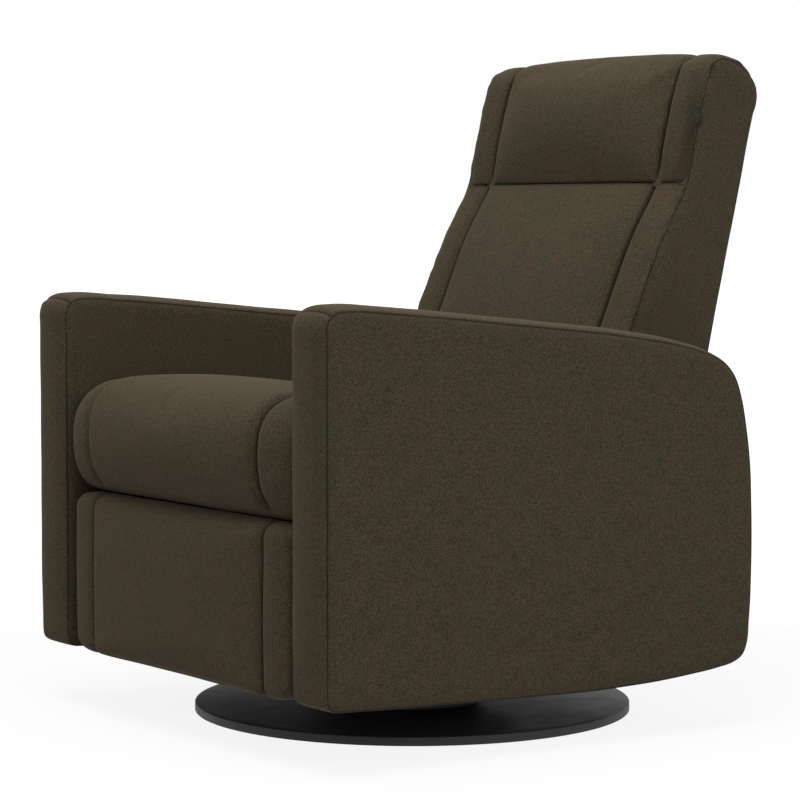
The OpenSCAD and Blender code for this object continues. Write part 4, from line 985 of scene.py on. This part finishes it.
f = footPad
foot = ringPad("footrestPad", acrossPad(f, (0, 3, 9, 18)), footRing)
swell(foot, lambda p: p.y > f["board"] - f["heldRear"] or onSeam(f, p.x)
      or abs(p.x) > f["halfW"] - f["heldSide"], f["swellMm"])
subdivide(foot)
closeEnds(foot, f["ends"])
foot.data.set_sharp_from_angle(angle=math.radians(f["sharpFrom"]))
soften(foot, **f["waves"])
inFront = lambda p: 1.0 if p.y < f["board"] - f["seamFrom"] else 0.0
cutSeams(foot, [(-f["seamX"], inFront), (f["seamX"], inFront)], f["seamDepth"])
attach(foot, "footrest")
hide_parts("footrest_cushion")
print("footrest padded")


# foam core of the seat and the webbing under it
foam = {"half": 180, "front": -322, "rear": 100, "foot": 322, "height": 112, "edge": 5}
bm = bmesh.new()
bmesh.ops.create_cube(bm, size=1)
bmesh.ops.scale(bm, verts=bm.verts, vec=(2 * foam["half"] * mm, (foam["rear"] - foam["front"]) * mm,
                                         foam["height"] * mm))
bmesh.ops.translate(bm, verts=bm.verts, vec=(0, (foam["rear"] + foam["front"]) / 2 * mm,
                                             (foam["foot"] + foam["height"] / 2) * mm))
bmesh.ops.bevel(bm, geom=bm.edges[:], offset=foam["edge"] * mm, segments=4, profile=0.5, affect="EDGES",
                material=-1)
foamBlock = toPiece(bm, "foamBlock", finishes["foam"])
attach(foamBlock, "seat")
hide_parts("seat_foam")

webbing = {"count": 6, "width": 45, "thick": 2, "sideX": 238, "front": -311, "rear": 116, "top": 321.5,
           "sag": 6}
bm = bmesh.new()
pitch = 2 * webbing["sideX"] / webbing["count"]
for i in range(webbing["count"]):
    strap = bmesh.ops.create_grid(bm, x_segments=4, y_segments=24, size=0.5)["verts"]
    for v in strap:
        y = webbing["front"] + (webbing["rear"] - webbing["front"]) * (v.co.y + 0.5)
        hang = webbing["sag"] * (1 - (2 * v.co.y) ** 2)
        v.co = Vector(((i + 0.5) * pitch - webbing["sideX"] + v.co.x * webbing["width"], y,
                       webbing["top"] - webbing["thick"] - hang)) * mm
bmesh.ops.recalc_face_normals(bm, faces=bm.faces)
bmesh.ops.solidify(bm, geom=bm.faces[:], thickness=-webbing["thick"] * mm)
straps = toPiece(bm, "webbingStraps", finishes["webbing"])
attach(straps, "seat")
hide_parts("seat_webbing")
print("seat core and straps in")


# base: a spun steel tray with a small rolled edge
base = {"radius": 313.5, "inner": 311.5, "top": 15.3, "skin": 2, "lift": 2.55, "edge": 2.2,
        "rows": (8.1, 60, 160, 250, 300), "underRows": (160, 8.1), "hem": 0.6, "steps": 160}
bm = bmesh.new()
edge, r, top, low = base["edge"], base["radius"], base["top"], base["lift"]
under = top - base["skin"]
rolled = [(math.sin(math.pi / 2 * k / 5), math.cos(math.pi / 2 * k / 5)) for k in range(6)]
profile = [(a, top) for a in base["rows"]]
profile += [(r - edge + edge * a, top - edge + edge * b) for a, b in rolled]
profile += [(r, low + base["hem"]), (r - base["hem"], low), (base["inner"], low), (base["inner"], under)]
profile += [(a, under) for a in base["underRows"]]
verts = [bm.verts.new(Vector((a, 0, z)) * mm) for a, z in profile]
edges = [bm.edges.new(pair) for pair in zip(verts, verts[1:] + verts[:1])]
bmesh.ops.spin(bm, geom=verts + edges, cent=(0, 0, 0), axis=(0, 0, 1), angle=2 * math.pi, steps=base["steps"],
               use_merge=True, use_duplicate=False)
bmesh.ops.remove_doubles(bm, verts=bm.verts, dist=0.00001)
bmesh.ops.recalc_face_normals(bm, faces=bm.faces)
disc = toPiece(bm, "baseDisc", finishes["black_steel"])
disc.data.set_sharp_from_angle(angle=math.radians(40))
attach(disc, "base")
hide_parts("base_cover")
print("base disc spun")


# floor, light and world
stage = {
    "floor": 30.0, "floorShade": "#b4b4b4", "world": 0.36,
    "seenShare": 0.7, "glowNear": 1.26, "glowFar": 1.6, "shadowReach": (1.0, 2.2),
    "keyLight": {"place": (0.5, -1.0, 4.2), "size": 2.8, "watts": 98},
    "fillLight": {"place": (3.6, 0.2, 1.9), "size": 2.2, "watts": 27},
    "aim": (0, 0, 0.5),
}
bm = bmesh.new()
bmesh.ops.create_grid(bm, x_segments=1, y_segments=1, size=stage["floor"])
floorMaterial, tree, shader, coords = newMaterial("matt studio floor", {
    "Base Color": srgb(stage["floorShade"]), "Roughness": 0.9, "Specular IOR Level": 0.1})
floor = toPiece(bm, "floor", floorMaterial)
path = addNode(tree, "ShaderNodeLightPath")
mirrored = addNode(tree, "ShaderNodeMath", {"operation": "MAXIMUM"},
                   links={0: (path, "Is Glossy Ray"), 1: (path, "Is Transmission Ray")})
shown = addNode(tree, "ShaderNodeMath", {"operation": "MAXIMUM"},
                links={0: (path, "Is Camera Ray"), 1: (mirrored, 0)})
seen = addNode(tree, "ShaderNodeMath", {"operation": "MULTIPLY"}, {1: stage["seenShare"]}, {0: (shown, 0)})
# a white glow that only the camera, mirrors and glass see, weaker near the chair so that its shadow stays
reach = addNode(tree, "ShaderNodeVectorMath", {"operation": "LENGTH"}, links=coords)
brighten = addNode(tree, "ShaderNodeMapRange", values={
    "From Min": stage["shadowReach"][0], "From Max": stage["shadowReach"][1],
    "To Min": stage["glowNear"], "To Max": stage["glowFar"]}, links={"Value": (reach, "Value")})
glow = addNode(tree, "ShaderNodeEmission", values={"Color": (1, 1, 1, 1)}, links={"Strength": (brighten, 0)})
addNode(tree, "ShaderNodeMixShader", links={0: (seen, 0), 1: (shader, 0), 2: (glow, 0)},
        feeds={0: (tree.nodes["Material Output"], "Surface")})
floor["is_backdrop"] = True

world = bpy.data.worlds.new("studio")
scene.world = world
world.use_nodes = True
tree = world.node_tree
path = addNode(tree, "ShaderNodeLightPath")
direct = addNode(tree, "ShaderNodeMath", {"operation": "MAXIMUM"},
                 links={0: (path, "Is Camera Ray"), 1: (path, "Is Glossy Ray")})
either = addNode(tree, "ShaderNodeMath", {"operation": "MAXIMUM"},
                 links={0: (direct, 0), 1: (path, "Is Transmission Ray")})
addNode(tree, "ShaderNodeMapRange", values={"To Min": stage["world"], "To Max": 1.0},
        links={"Value": (either, 0)}, feeds={0: (tree.nodes["Background"], "Strength")})
tree.nodes["Background"].inputs["Color"].default_value = (1, 1, 1, 1)

for name in ("keyLight", "fillLight"):
    place = Vector(stage[name]["place"])
    lamp = bpy.data.lights.new(name, "AREA")
    lamp.size = stage[name]["size"]
    lamp.energy = stage[name]["watts"]
    lampObject = bpy.data.objects.new(name, lamp)
    scene.collection.objects.link(lampObject)
    lampObject.location = place
    lampObject.rotation_euler = (Vector(stage["aim"]) - place).to_track_quat("-Z", "Y").to_euler()
scene.view_settings.view_transform = "Standard"
print("floor and lights placed")

bpy.context.view_layer.update()
sizes = {"cad": [list(c) for c in cadBox], "visual": [list(c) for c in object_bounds()]}
print("sizes", [[round(x, 4) for x in c] for c in sizes["cad"] + sizes["visual"]])
